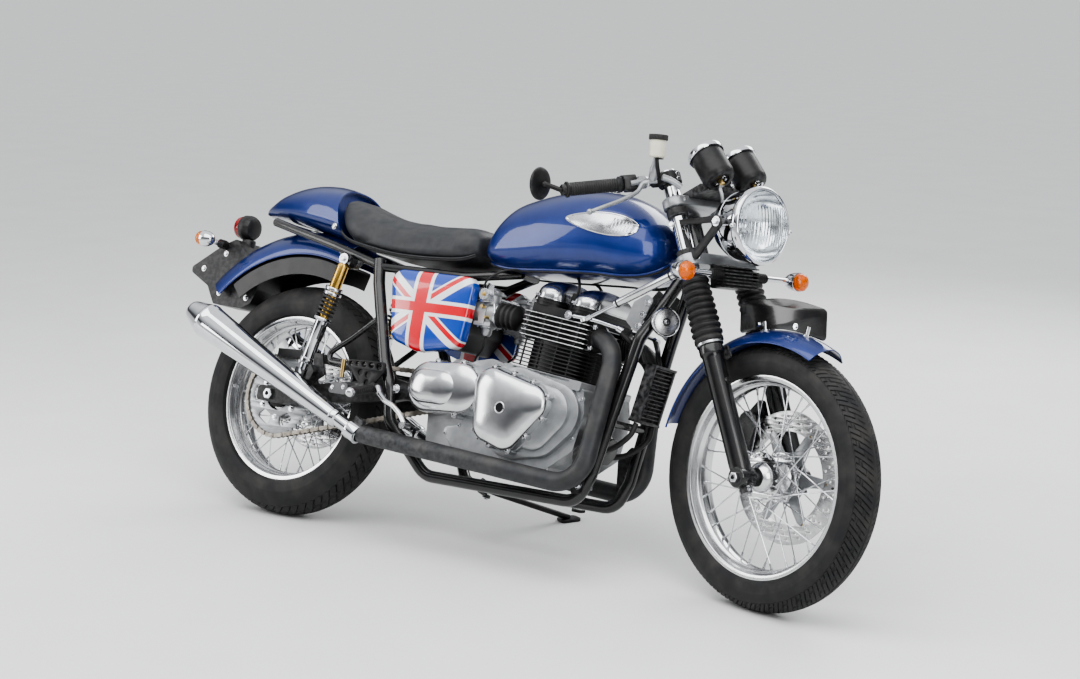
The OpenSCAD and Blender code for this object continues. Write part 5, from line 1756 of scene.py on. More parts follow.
FLAG = flag_paint()
panel = Shape(UPRIGHT)
panel_outline = round_outline([(342, 702), (620, 700), (606, 514), (470, 489), (378, 514)],
                              [34, 30, 34, 60, 40], 10)
for place in (on_right(110), on_left(110)):
    panel.add(domed(panel_outline, 14, 26, 3.4, 20), FLAG, place)
panel.make("flag_side_panels", "frame", ["side_panels"], "panel_paint", round_edges=0, crease=50)


# %% Mudguards
def hoop(profile, start, sweep, steps=64):
    """Part of a turn of a closed profile, with flat ends."""
    points, faces = turned(ring_of(profile), steps, start, sweep)
    n = len(profile) + 1
    return points, faces + [list(range(n - 1)), [len(points) - 2 - k for k in range(n - 1)]]


def guard_profile(ring, crown, thick, edge, steps=24):
    """A round crown with rolled edges, as (radius, width) pairs."""
    reach = acos((edge - ring) / crown)
    outer = [(ring + crown * cos(a), crown * sin(a))
             for a in (reach * (2 * k / steps - 1) for k in range(steps + 1))]
    inner = [(ring + (crown - thick) * cos(a), (crown - thick) * sin(a))
             for a in (reach * (1 - 2 * k / steps) for k in range(steps + 1))]
    return outer + inner


guard = Shape(UPRIGHT)
guard.add(hoop(guard_profile(400, 75, 3, 401.5), 73, 67), BLUE, rear_wheel_at)
for side in SIDES:
    lip = [(402 * cos(radians(a)), 402 * sin(radians(a)), side * 74.5)
           for a in range(73, 141, 3)]
    guard.add(swept(lip, 2.6, 10), BLUE, rear_wheel_at)
guard.make("rear_mudguard_skin", "frame", ["rear_mudguard"], "blue_paint", round_edges=0, crease=40)

liner = Shape(UPRIGHT)
liner.add(hoop([(345, 69), (345, 72), (392, 72), (397, 67), (397, -67), (392, -72), (345, -72),
                (345, -69), (390, -69), (394, -65), (394, 65), (390, 69)], 74, 58), PLASTIC,
          rear_wheel_at)
liner.make("rear_liner", "frame", ["rear_inner_guard"], "satin_black", round_edges=0)
guard = Shape(STEERED)
guard.add(hoop(guard_profile(282, 68, 2.5, 317), 64.6, 100, 96), BLUE, front_wheel_at)
for side in SIDES:
    lip = [(318 * cos(radians(a)), 318 * sin(radians(a)), side * 57.6)
           for a in (64.6 + 100 * k / 40 for k in range(41))]
    guard.add(swept(lip, 2.2, 10), BLUE, front_wheel_at)
    guard.add(flat_plate([(1326, 598), (1366, 622), (1384, 594), (1345, 576)], 6, side * 64.6, 6),
              SATIN_BLACK)
    guard.add(bolt((1352, side * 68, 600), (0, side, 0), 5, 5), STEEL)
for a in (78, 100):
    place = front_wheel_at @ turn_by(a, "Z")
    guard.add(rod((347, 0, 0), (372, 0, 0), 6, 16), CHROME, place)
    guard.add(rod((349, 0, 0), (352, 0, 0), 11, 24), CHROME, place)
guard.make("front_mudguard_skin", "steering", ["front_mudguard"], "blue_paint", round_edges=0,
           crease=40)

# %% Number plate, blank
plate = Shape(STEERED)
plate_top = [(1337 + 34 * i, 726 + 17 * sin(radians(22.5 * i))) for i in range(9)]
plate_low = [(1343 + 34 * i, 650 + 20 * sin(radians(22.5 * i))) for i in range(8, -1, -1)]
plate_edge = [(x - 1480, z - 690) for x, z in plate_top + plate_low]
plate_rounded = round_outline(plate_edge, [10] + [200] * 7 + [14, 10] + [200] * 7 + [8], 4)
plate.add(drilled([plate_rounded], 4, 0.8), PLATE_BLACK,
          around_axle(Vector((1480, 0, 690))))
for x, z in ((1402, 676), (1520, 680)):
    for side in SIDES:
        plate.add(bolt((x, side * 2, z), (0, side, 0), 5.5, 5), CHROME)
plate.make("blank_number_plate", "steering", ["number_plate"], "plate_black", round_edges=0)

# %% [markdown]
# ## Fork
#
# The fork is two telescopes clamped by two yokes. Rubber gaiters hide the sliding tubes, and
# their folds are a lathe profile: a row of soft ridges that shrink a little towards the top.

# %% Yokes and legs
STANCHION_R = 20.5


def yoke_blank(thick):
    """A band stretched round the two legs and the stem."""
    posts = [(Vector((0, LEG_Y)), 31), (Vector((0, -LEG_Y)), 31), (Vector((-FORK_OFFSET, 0)), 27)]
    outline = []
    for i in range(96):
        out = Vector((cos(2 * pi * i / 96), sin(2 * pi * i / 96)))
        post, r = max(posts, key=lambda p: p[0].dot(out) + p[1])
        outline.append(tuple(post + r * out))
    holes = [circle((0, side * LEG_Y), STANCHION_R + 0.1, 48) for side in SIDES]
    lighten = [circle((-20, side * 42), 12, 24) for side in SIDES]
    return drilled([outline] + holes + lighten, thick, 2.0)


yokes = Shape(STEERED)
for up, thick in ((532, 30), (690, 24)):
    yokes.add(yoke_blank(thick), SILVER, along_leg(0) @ shift(0, 0, up + thick / 2))
    for side in SIDES:
        for x in (-26, 27):
            yokes.add(bolt((x, side * LEG_Y - side * 4, up + thick / 2), (copysign(1, x), 0, 0), 5, 7),
                      STEEL, along_leg(0))
yokes.add(rod(STEER_FOOT + 537 * STEER_DIR, STEER_FOOT + 724 * STEER_DIR, 14, 32), STEEL)
yokes.add(turned([(0.1, 0), (19, 0), (19, 9), (16, 12), (0.1, 12)], 6), CHROME,
          facing(STEER_FOOT + 714 * STEER_DIR, STEER_DIR))
yokes.make("fork_yokes_cast", "steering", ["fork_yokes"], "cast_alloy", round_edges=0.6)

legs = Shape(STEERED)
for side in SIDES:
    legs.add(turned([(0.1, 330), (STANCHION_R, 330), (STANCHION_R, 786), (18, 790), (0.1, 790)], 64),
             CHROME, along_leg(side * LEG_Y))
    legs.add(turned([(0.1, 790), (12, 790), (12, 796), (9, 799), (0.1, 799)], 6), STEEL,
             along_leg(side * LEG_Y) @ shift(0, 0, -9))
legs.make("fork_tubes", "steering", ["fork_stanchions"], "chrome", round_edges=0)

gaiters = Shape(STEERED)
folds = [(STANCHION_R + 0.2, 336), (33, 336), (35.5, 339), (35.5, 347), (33, 351)]
for k in range(9):
    base = 352 + 16.6 * k
    crest = 38.2 - 0.35 * k
    folds += [(31.5 - 0.2 * k, base), (32.4, base + 2.2), (crest - 1, base + 5), (crest, base + 8.2),
              (crest - 1, base + 11.4), (32.4, base + 14.2)]
folds += [(30, 501), (32, 503), (32, 508), (29, 510), (STANCHION_R + 0.2, 510)]
for side in SIDES:
    gaiters.add(turned(folds, 72), SOFT_RUBBER, along_leg(side * LEG_Y))
gaiters.make("fork_gaiters_folded", "steering", ["fork_gaiters"], "gaiter_rubber", round_edges=0,
             crease=60)

# %% Sliders and axle
slides = Shape(STEERED)
slider_profile = [(0.1, -24), (17, -24), (21, -20), (24, -6), (24.6, 14), (26, 30), (26, 296), (27, 304),
                  (30, 308), (30, 324), (29, 328), (22, 330), (0.1, 330)]
for side in SIDES:
    leg = along_leg(side * LEG_Y)
    slides.add(turned(slider_profile, 72), GLOSS_BLACK, leg)
    slides.add(turned([(30.2, 329), (33, 330), (33, 335.5), (30.5, 336.5), (21, 336.5)], 64), STEEL, leg)
    slides.add(turned([(0.1, -25), (23, -25), (25, -22), (25, 22), (23, 25), (0.1, 25)], 48),
               GLOSS_BLACK, around_axle(FRONT_AXLE + Vector((0, side * LEG_Y, 0))))
    slides.add(block((-9, -12, -40), (9, 12, -16)), GLOSS_BLACK, leg)
    for z in (-33, -24):
        slides.add(bolt((9, 0, z), (1, 0, 0), 3.6, 5), STEEL, leg)
    slides.add(rod((24, 0, 232), (31, 0, 232), 8, 24), GLOSS_BLACK, leg)
    slides.add(rod((-24, 0, 268), (-30, 0, 268), 8, 24), GLOSS_BLACK, leg)
slides.add(flat_plate([(1395, 425), (1328, 408), (1320, 452), (1365, 500)], 8, 78, 16),
           GLOSS_BLACK)
slides.make("fork_sliders_enamelled", "steering", ["fork_sliders"], "satin_black", round_edges=0.8)

spindle = Shape(STEERED)
spindle_at = around_axle(FRONT_AXLE)
spindle.add(turned(ring_of([(6, -123), (8.5, -123), (8.5, 123), (6, 123)]), 48), STEEL, spindle_at)
spindle.add(turned(ring_of([(6, 121.5), (13, 121.5), (13, 129), (11, 131), (6, 131)]), 6), CHROME,
            spindle_at)
for side in SIDES:
    spindle.add(turned(ring_of([(8.5, side * 53.5), (14, side * 53.5), (14, side * 69), (8.5, side * 69)]),
                       48), STEEL, spindle_at)
spindle.make("front_spindle", "steering", ["front_axle"], "bright_steel", round_edges=0.5)

# %% Calipers
caliper = Shape(STEERED)
body = round_outline([(1322, 372), (1362, 358), (1392, 440), (1384, 456), (1350, 466), (1334, 452)], 8)
for y in (44, 82):
    caliper.add(slab(body, y, 18), GLOSS_BLACK)
caliper.add(flat_plate([(1340, 430), (1376, 424), (1390, 446), (1350, 464)], 5, 62, 44),
            GLOSS_BLACK)
for x, z in ((1346, 392), (1362, 430)):
    caliper.add(turned([(0.1, 0), (13, 0), (13, 3), (9, 4), (0.1, 4)], 32), STEEL,
                facing((x, 91, z), (0, 1, 0)))
caliper.add(bolt((1372, 91, 452), (0, 1, 0), 5, 6), STEEL)
caliper.make("front_brake_caliper", "steering", ["front_caliper"], "satin_black", round_edges=1.2)
caliper = Shape(UPRIGHT)
body = round_outline([(72, 240), (122, 226), (140, 280), (134, 300), (96, 312), (88, 300)], 8)
for y in (70, 100):
    caliper.add(slab(body, y, 13), GLOSS_BLACK)
caliper.add(flat_plate([(116, 244), (128, 244), (140, 284), (128, 296)], 4, 85, 34), GLOSS_BLACK)
caliper.add(flat_plate([(0, 336), (60, 332), (112, 262), (96, 248), (20, 300)], 9, 112, 6),
            SATIN_BLACK)
for x, z in ((96, 268), (112, 288)):
    caliper.add(turned([(0.1, 0), (10, 0), (10, 2), (7, 3), (0.1, 3)], 32), STEEL,
                facing((x, 107, z), (0, 1, 0)))
caliper.make("rear_brake_caliper", "frame", ["rear_caliper"], "satin_black", round_edges=1.2)

# %% [markdown]
# ## Headlamp
#
# A lamp looks real when light can go in, strike a curved mirror and come out again through
# fluted glass. So it has a deep bowl, a bulb with its cap, a thick lens with ribs, and a rim.

# %% Headlamp
LAMP_AT = (STEERED, shift(1376, 0, 912) @ turn_by(87, "Y"))
REFLECTOR = finish("lamp mirror", (0.88, 0.90, 0.92), (0.93, 0.94, 0.95), 0.12, 0.05, metallic=1.0,
                   dust=0.0)
lamp = Shape(STEERED)
lamp_at = LAMP_AT[1]
lamp.add(turned([(0.1, -122), (28, -119.5), (46, -112), (58, -104), (69, -92), (77, -78), (83, -62),
                 (86.5, -44), (88, -26), (88, -14), (89, -13), (93, -12), (95, -8), (95.5, -2), (95, 4),
                 (93.5, 8), (90, 11), (87, 11.5), (86, 10), (86, 2), (84, 0)], 96), CHROME, lamp_at)
lamp.add(turned([(84, 1), (82, -8), (76, -24), (66, -38), (52, -49), (34, -57), (18, -60), (18, -62),
                 (84, -62)], 96), REFLECTOR, lamp_at)
lamp.add(turned([(0.1, -60), (16, -60), (16, -46), (10, -42), (0.1, -41)], 40), STEEL, lamp_at)
lamp.add(turned([(0.1, -20), (9, -21), (11, -26), (11, -34), (8, -42), (0.1, -43)], 40), REFLECTOR,
         lamp_at)
lamp.add(rod((88, 0, -2), (104, 0, -2), 4, 16), STEEL, lamp_at @ Matrix.Rotation(pi, 4, "Z"))
for side in SIDES:
    lamp.add(rod((0, side * 84, -40), (0, side * 102, -40), 9, 24), STEEL, lamp_at)
    lamp.add(ball((8, side * 100, 2), 7, 24), CHROME, lamp_at)
    lamp.add(rod((8, side * 92, 2), (8, side * 100, 2), 3.5, 12), CHROME, lamp_at)
lamp.make("headlamp_bowl", "steering", ["headlamp_shell"], "chrome", round_edges=0.4)


def lens_blank():
    """A domed glass whose back carries upright flutes in the middle and a ring of prisms."""
    rows, steps = 30, 144
    front, back = [], []
    for i in range(rows + 1):
        r = 85.6 * i / rows
        for j in range(steps):
            a = 2 * pi * j / steps
            x, y = r * cos(a), r * sin(a)
            crown = 6 + 19 * (1 - (r / 85.6) ** 2)
            flute = 0.9 * cos(y * 0.62) if abs(x) < 46 else 0.5 * cos(x * 0.9)
            fade = min(1.0, (85.6 - r) / 10)
            front.append((x, y, crown))
            back.append((x, y, crown - 5 + flute * fade))
    n = steps
    faces = []
    for i in range(rows):
        for j in range(n):
            a, b = i * n + j, i * n + (j + 1) % n
            faces.append([a, a + n, b + n, b])
            start = len(front)
            faces.append([start + a, start + b, start + b + n, start + a + n])
    edge = rows * n
    faces += [[edge + j, len(front) + edge + j, len(front) + edge + (j + 1) % n, edge + (j + 1) % n]
              for j in range(n)]
    return front + back, faces


lens = Shape(STEERED)
lens.add(lens_blank(), CLEAR_GLASS, lamp_at)
lens.make("headlamp_glass", "steering", ["headlamp_lens"], "lamp_glass", round_edges=0, crease=80)

# %% Headlamp arms, with their window
arms = Shape(STEERED)
arm_edge = round_outline([(1178, 908), (1345, 927), (1353, 904), (1278, 816), (1260, 826)], 8, 5)
window = round_outline([(1216, 898), (1318, 908), (1322, 900), (1272, 842), (1260, 846)], 6, 5)
for side in SIDES:
    arms.add(drilled([arm_edge, window], 7, 1.2), SATIN_BLACK, around_axle(Vector((0, side * 108, 0))))
    arms.add(bolt((1336, side * 112, 912), (0, side, 0), 9, 8), STEEL)
    arms.add(bolt((1190, side * 112, 899), (0, side, 0), 7, 7), STEEL)
    arms.add(rod((1336, side * 88, 912), (1336, side * 105, 912), 10, 24), SATIN_BLACK)
    for up in (558, 668):
        arms.add(turned(ring_of([(21, up), (26, up), (26.5, up + 2), (26.5, up + 16), (26, up + 18),
                                 (21, up + 18)]), 48), SATIN_BLACK, along_leg(side * LEG_Y))
arms.make("headlamp_arms", "steering", ["headlamp_brackets"], "satin_black", round_edges=0)

# %% Regulator and indicators
fins = Shape(STEERED)
fins.add(flat_plate([(1270, 814), (1316, 806), (1322, 758), (1280, 752)], 5, 0, 104), SATIN_BLACK)
for k in range(7):
    z = 757 + 8.2 * k
    fins.add(block((1300, -56, z), (1338 - 0.6 * k, 56, z + 3.2)), SATIN_BLACK)
fins.add(rod((1262, 0, 782), (1282, 0, 782), 12, 24), SATIN_BLACK)
fins.make("finned_regulator", "steering", ["regulator"], "satin_black", round_edges=0.8)

blink = Shape(STEERED)
for side in SIDES:
    blink.add(rod((1318, side * 58, 788), (1318, side * 96, 788), 11, 32), SOFT_RUBBER)
    for k in range(5):
        blink.add(rod((1318, side * (62 + 7 * k), 788), (1318, side * (65 + 7 * k), 788), 12.4, 32),
                  SOFT_RUBBER)
    blink.add(rod((1318, side * 94, 788), (1318, side * 180, 788), 7.5, 32), CHROME)
    at = facing((1328, side * 200, 788), (1, 0, 0))
    blink.add(turned([(0.1, -36), (8, -35), (15, -29), (20, -20), (23, -9), (24.4, 4), (24.4, 8),
                      (22, 9), (0.1, 9)], 64), CHROME, at)
    lens_rings = [(22.6, 9), (22.6, 14), (21.8, 16), (21.8, 18), (20.6, 20), (20.6, 22), (18, 25),
                  (14, 28), (8, 30.4), (0.1, 31.4)]
    blink.add(turned(lens_rings, 64), AMBER_GLASS, at)
    blink.add(turned([(0.1, 10), (20, 10), (12, 12), (5, 20), (0.1, 21)], 40), AMBER_GLOW, at)
    blink.add(rod((-4, 0, -30), (-4, 0, -24), 4, 12), STEEL, at)
blink.make("front_indicator_lamps", "steering", ["front_indicators"], "chrome", round_edges=0)

# %% [markdown]
# ## Handlebars and controls
#
# Each bar clamps a leg just above the top yoke. Everything on it is set out along the bar, so
# one frame that looks outwards along the bar serves grip, switch housing, perch and mirror.

# %% Bars and grips
BAR_IN = leg_point(0, LEG_Y, 768)
BAR_OUT = Vector((1043, 340, 957))
BAR_DIR = (BAR_OUT - BAR_IN).normalized()
BAR_LENGTH = (BAR_OUT - BAR_IN).length
ALONG_BAR = facing(BAR_IN, BAR_DIR, (0, 0, 1))


bars = Shape(STEERED)
bars.both(turned(ring_of([(STANCHION_R + 0.1, 752), (28, 752), (30, 755), (30, 779), (28, 782),
                          (STANCHION_R + 0.1, 782)]), 64), SATIN_BLACK, along_leg(LEG_Y))
bars.both(rod(BAR_IN + 24 * BAR_DIR, BAR_OUT, 11, 40), SATIN_BLACK)
bars.both(turned([(11, 22), (15, 22), (16, 26), (16, 44), (14, 47), (11, 48)], 48), SATIN_BLACK, ALONG_BAR)
for up in (760, 774):
    bars.both(bolt(leg_point(27, LEG_Y, up), (1, 0.3, 0), 5, 6), STEEL)
housing = round_outline([(-22, -17), (20, -17), (22, 12), (12, 22), (-16, 22), (-22, 14)], 7, 5)
bars.both(drilled([housing], 34, 3), PLASTIC, ALONG_BAR @ shift(0, 0, 108))
bars.both(drilled([round_outline([(-18, -21), (18, -21), (18, 8), (-18, 8)], 6, 4)], 20, 2), PLASTIC,
          ALONG_BAR @ shift(0, 0, 106))
bars.make("clip_on_bars", "steering", ["handlebars"], "satin_black", round_edges=0.6)

grip_blank = [(11, 126), (19, 126), (20, 128), (20, 133), (16.4, 136)]
for k in range(20):
    z = 140 + (BAR_LENGTH - 152) * k / 20
    step = (BAR_LENGTH - 152) / 20
    grip_blank += [(15.6, z), (16.6, z + 0.22 * step), (16.6, z + 0.72 * step), (15.6, z + 0.92 * step)]
grip_blank += [(16.4, BAR_LENGTH - 10), (19.5, BAR_LENGTH - 7), (19.5, BAR_LENGTH - 3),
               (17, BAR_LENGTH - 1), (11, BAR_LENGTH - 1)]
grips = Shape(STEERED)
grips.both(turned(grip_blank, 64), SOFT_RUBBER, ALONG_BAR)
grips.make("ribbed_grips", "steering", ["grips"], "gaiter_rubber", round_edges=0, crease=50)

# %% Levers, perches and the fluid pot
levers = Shape(STEERED)
perch = [BAR_IN + 66 * BAR_DIR + Vector((18, 0, 6)), BAR_IN + 116 * BAR_DIR + Vector((18, 0, 2))]
levers.both(turned([(11, 62), (15, 62), (16, 64), (16, 80), (15, 82), (11, 82)], 40), SILVER, ALONG_BAR)
levers.both(rod(perch[0], perch[1], 8.5, 32), SILVER)
levers.both(swept(smooth_path([(1172, 160, 1000), (1152, 184, 992), (1154, 206, 968), (1150, 250, 944),
                               (1141, 300, 922), (1132, 330, 908)], 8),
                  [6.5, 6, 5.6, 5.2, 5, 4.8], 20), SILVER)
levers.both(ball((1131, 333, 907), 7.5, 32), SILVER)
levers.both(bolt((1158, 176, 1003), (0, 0, 1), 6, 6), STEEL)
levers.both(rod((1158, 176, 984), (1158, 176, 1003), 5, 20), SILVER)
master = facing((1166, -170, 1000), (22, -14, 70), (1, 0, 0))
levers.add(turned([(0.1, 0), (9, 0), (11, 6), (11, 30), (8, 40), (6, 58), (0.1, 58)], 40), SILVER, master)
perch_arm = smooth_path([(1178, -150, 1010), (1190, -130, 1004), (1206, -110, 990)], 6)
levers.add(swept(perch_arm, 8, 24), SILVER)
pot = shift(1190, -186, 0)
levers.add(turned([(0.1, 1054), (17, 1054), (19.5, 1057), (20, 1094), (19, 1096), (0.1, 1096)], 56),
           CLOUDY, pot)
cap = []
for i in range(144):
    r = 23.4 if i % 4 < 2 else 22.6
    cap.append(polar(r, 2 * pi * i / 144))
levers.add(drilled([cap], 13, 1.0), PLASTIC, pot @ shift(0, 0, 1102.4))
levers.add(block((1176, -178, 1050), (1200, -172, 1072)), SILVER)
levers.add(swept(smooth_path([(1190, -186, 1054), (1192, -184, 1038), (1186, -172, 1020),
                              (1176, -158, 1008)], 8), 4.6, 20), SOFT_RUBBER)
levers.make("levers_and_fluid_pot", "steering", ["control_levers"], "bright_steel", round_edges=0.6)

# %% Bar-end mirrors
mirror_at = shift(996, 378, 967) @ turn_by(-12, "Z") \
    @ turn_by(90, "Y")
mirrors = Shape(STEERED)
mirrors.both(swept(smooth_path([tuple(BAR_OUT - 8 * BAR_DIR), tuple(BAR_OUT + 8 * BAR_DIR),
                                (1016, 358, 962), (1002, 370, 966)], 6), 6, 28), SATIN_BLACK)
mirrors.both(turned([(6, -6), (13, -6), (14, -3), (14, 8), (12, 10), (6, 10)], 40), SATIN_BLACK,
             facing(BAR_OUT, BAR_DIR))
mirrors.both(turned([(0.1, 4.5), (20, 4.3), (34, 3), (39, 0.5), (40, -2), (40, -4), (38.5, -4.5),
                     (37.6, -4), (37.4, -3), (0.1, -3)], 96), SATIN_BLACK, mirror_at)
mirrors.both(turned([(0.1, -3.6), (37.3, -3.3), (37.3, -2.5), (0.1, -2.5)], 96), MIRROR_GLASS, mirror_at)
mirrors.both(ball((1000, 371, 966), 8, 24), SATIN_BLACK)
mirrors.make("round_bar_end_mirrors", "steering", ["bar_end_mirrors"], "satin_black", round_edges=0)

# %% [markdown]
# ## Instruments
#
# Two cans with chrome rims. Each dial is drawn by the shader from angle and radius: a ring of
# ticks, longer every fifth, on an off-white face, with a real needle standing above it.

# %% Dials
def dial_face():
    material = finish("dial face", (0.80, 0.79, 0.75), (0.84, 0.83, 0.79), 0.45, 0.08, dust=0.0)
    tree = material.node_tree
    shader = tree.nodes["Principled BSDF"]
    face = tree.nodes.new("ShaderNodeAttribute")
    face.attribute_name = "dial"
    split = tree.nodes.new("ShaderNodeSeparateXYZ")
    tree.links.new(face.outputs["Vector"], split.inputs[0])
    x, y = split.outputs["X"], split.outputs["Y"]
    angle = math_node(tree, "ARCTAN2", y, x)
    turn = math_node(tree, "ADD", math_node(tree, "DIVIDE", angle, 2 * pi), 0.5)
    radius = math_node(tree, "SQRT", math_node(tree, "ADD", math_node(tree, "MULTIPLY", x, x),
                                               math_node(tree, "MULTIPLY", y, y)))
    marks = []
    for count, inner, width in ((60, 0.86, 0.16), (12, 0.74, 0.07)):
        phase = math_node(tree, "FRACT", math_node(tree, "MULTIPLY", turn, float(count)))
        near = math_node(tree, "ABSOLUTE", math_node(tree, "SUBTRACT", phase, 0.5))
        tick = math_node(tree, "LESS_THAN", near, width)
        ring = math_node(tree, "MULTIPLY", math_node(tree, "GREATER_THAN", radius, inner),
                         math_node(tree, "LESS_THAN", radius, 0.95))
        marks.append(math_node(tree, "MULTIPLY", tick, ring))
    swept_part = math_node(tree, "MULTIPLY", math_node(tree, "GREATER_THAN", turn, 0.12),
                           math_node(tree, "LESS_THAN", turn, 0.88))
    either = math_node(tree, "MULTIPLY", math_node(tree, "MAXIMUM", *marks), swept_part)
    hub = math_node(tree, "LESS_THAN", radius, 0.2)
    either = math_node(tree, "MAXIMUM", either, hub)
    plain = shader.inputs["Base Color"].links[0].from_socket
    tree.links.new(mix_colour(tree, either, plain, (0.02, 0.02, 0.022, 1)), shader.inputs["Base Color"])
    return material


DIAL = dial_face()
gauges = Shape(STEERED)
GAUGE_AT = shift(1255, 58, 1046) @ turn_by(-43, "Y") \
    @ shift(0, 0, -46)
for mirror_side in SIDES:
    at = GAUGE_AT if mirror_side > 0 else GAUGE_AT @ shift(0, -116, 0)
    gauges.add(turned([(0.1, 3), (22, 3), (23, 0), (30, 0), (36, 3), (39.5, 9), (41, 16), (41, 78),
                       (39, 80), (39, 88), (0.1, 88)], 96), SATIN_BLACK, at)
    gauges.add(turned(ring_of([(39.5, 79), (44.5, 79), (46, 81), (46, 90), (44.5, 93), (41, 94),
                               (39.5, 92.5)]), 96), CHROME, at)
    gauges.add(drilled([circle((0, 0), 39.4, 96)], 1, 0), DIAL, at @ shift(0, 0, 88.4))
    gauges.add(turned([(0.1, 88), (5, 88), (5, 91), (3.6, 92), (0.1, 92)], 32), PLASTIC, at)
    needle = turn_by(214, "Z")
    gauges.add(block((-8, -0.9, 89.8), (31, 0.9, 90.6)), PLASTIC, at @ needle)
    gauges.add(turned([(0.1, 92.4), (39.4, 92.0), (39.4, 93.2), (0.1, 93.6)], 96), CLEAR_GLASS, at)
    for x in (-14, 14):
        gauges.add(turned([(0.1, -8), (3.6, -8), (3.6, 0), (5.5, 0), (5.5, 3), (0.1, 3)], 24), CHROME,
                   at @ shift(x, 0, 0))
    gauges.add(turned([(0.1, -13), (6, -13), (7, -10), (7, 2), (0.1, 2)], 6), BRASS, at)
gauges.add(flat_plate([(1176, 967), (1176, 976), (1236, 1004), (1263, 1000), (1263, 990),
                               (1200, 967)], 3, 0, 150), SATIN_BLACK)
gauges.add(swept(smooth_path([tuple(GAUGE_AT @ shift(0, -116, 0) @ Vector((0, 0, -12))),
                              (1287, -58, 996), (1290, -50, 970), (1272, -34, 948), (1236, -26, 930)], 8),
                 4.4, 20), BRAID)
pair = gauges.make("twin_gauges", "steering", ["instruments"], "instrument_black", round_edges=0)
dial_places = pair.data.attributes.new("dial", "FLOAT_VECTOR", "POINT")
local = [(STEERED @ GAUGE_AT @ shift(0, y, 0)).inverted() for y in (0, -116)]
for vertex, stored in zip(pair.data.vertices, dial_places.data):
    at = min((turn_back @ vertex.co for turn_back in local), key=lambda p: p.xy.length)
    stored.vector = (at.x / 39.4, at.y / 39.4, 0)

# %% [markdown]
# ## Rear lamps, rests and stand

# %% Tail bracket
tail = Shape(UPRIGHT)
tail_edge = round_outline([(-345, 725), (-452, 652), (-450, 636), (-380, 602), (-346, 552), (-240, 548),
                           (-205, 566), (-190, 606), (-190, 660), (-300, 745)], 10, 5)
for side in SIDES:
    tail.add(slab(tail_edge, side * 49, 6), SATIN_BLACK)
    for x, z in ((-330, 700), (-405, 650), (-330, 585), (-225, 580), (-215, 640)):
        tail.add(bolt((x, side * 52, z), (0, side, 0), 6.5, 5), STEEL)
tail.add(slab(tail_edge, 0, 96), PLASTIC)
for side in SIDES:
    tail.add(rod((-338, side * 50, 724), (-338, side * 62, 724), 12, 32), SOFT_RUBBER)
    for k in range(4):
        y = side * (56 + 6 * k)
        tail.add(rod((-338, y, 724), (-338, y + side * 3, 724), 13, 32), SOFT_RUBBER)
    tail.add(rod((-338, side * 60, 724), (-338, side * 97, 724), 7.5, 28), CHROME)
tail.add(turned([(0.1, 730), (20, 730), (20, 748), (18, 752), (0.1, 752)], 48), SATIN_BLACK,
         shift(-300, 0, 0))
tail.make("tail_frame", "frame", ["tail_bracket"], "satin_black", round_edges=0.8)

# %% Rear lamps
lamps = Shape(UPRIGHT)
tail_at = facing((-290, 0, 786), (-1, 0, 0))
lamps.add(turned([(0.1, -6), (18, -6), (30, -2), (35, 6), (37, 14), (37, 30), (35.5, 33), (33, 33),
                  (33, 20), (0.1, 20)], 80), SATIN_BLACK, tail_at)
lamps.add(turned([(0.1, 22), (32.6, 22), (32.6, 44), (31, 50), (28, 54), (27, 55), (24, 57), (22, 57.6),
                  (16, 60), (8, 61.4), (0.1, 62)], 80), RED_GLASS, tail_at)
lamps.add(turned([(0.1, 21), (28, 21), (14, 26), (8, 40), (0.1, 42)], 40), RED_GLOW, tail_at)
for side in SIDES:
    at = facing((-352, side * 120, 728), (-1, 0, 0))
    lamps.add(rod((-340, side * 92, 725), (-350, side * 108, 727), 7.5, 28), CHROME)
    lamps.add(turned([(0.1, -27), (7, -26), (13, -22), (18, -15), (21.6, -6), (23, 4), (23, 9),
                      (21, 10), (0.1, 10)], 64), CHROME, at)
    lamps.add(turned([(21.6, 10), (21.6, 15), (20.8, 17), (20.8, 20), (19.4, 22), (19.4, 25), (17, 29),
                      (13, 33), (7, 36.4), (0.1, 38)], 64), AMBER_GLASS, at)
    lamps.add(turned([(0.1, 11), (19, 11), (11, 13), (5, 22), (0.1, 23)], 40), AMBER_GLOW, at)
lamps.make("rear_lamp_set", "frame", ["rear_lamps"], "lamp_glass", round_edges=0)

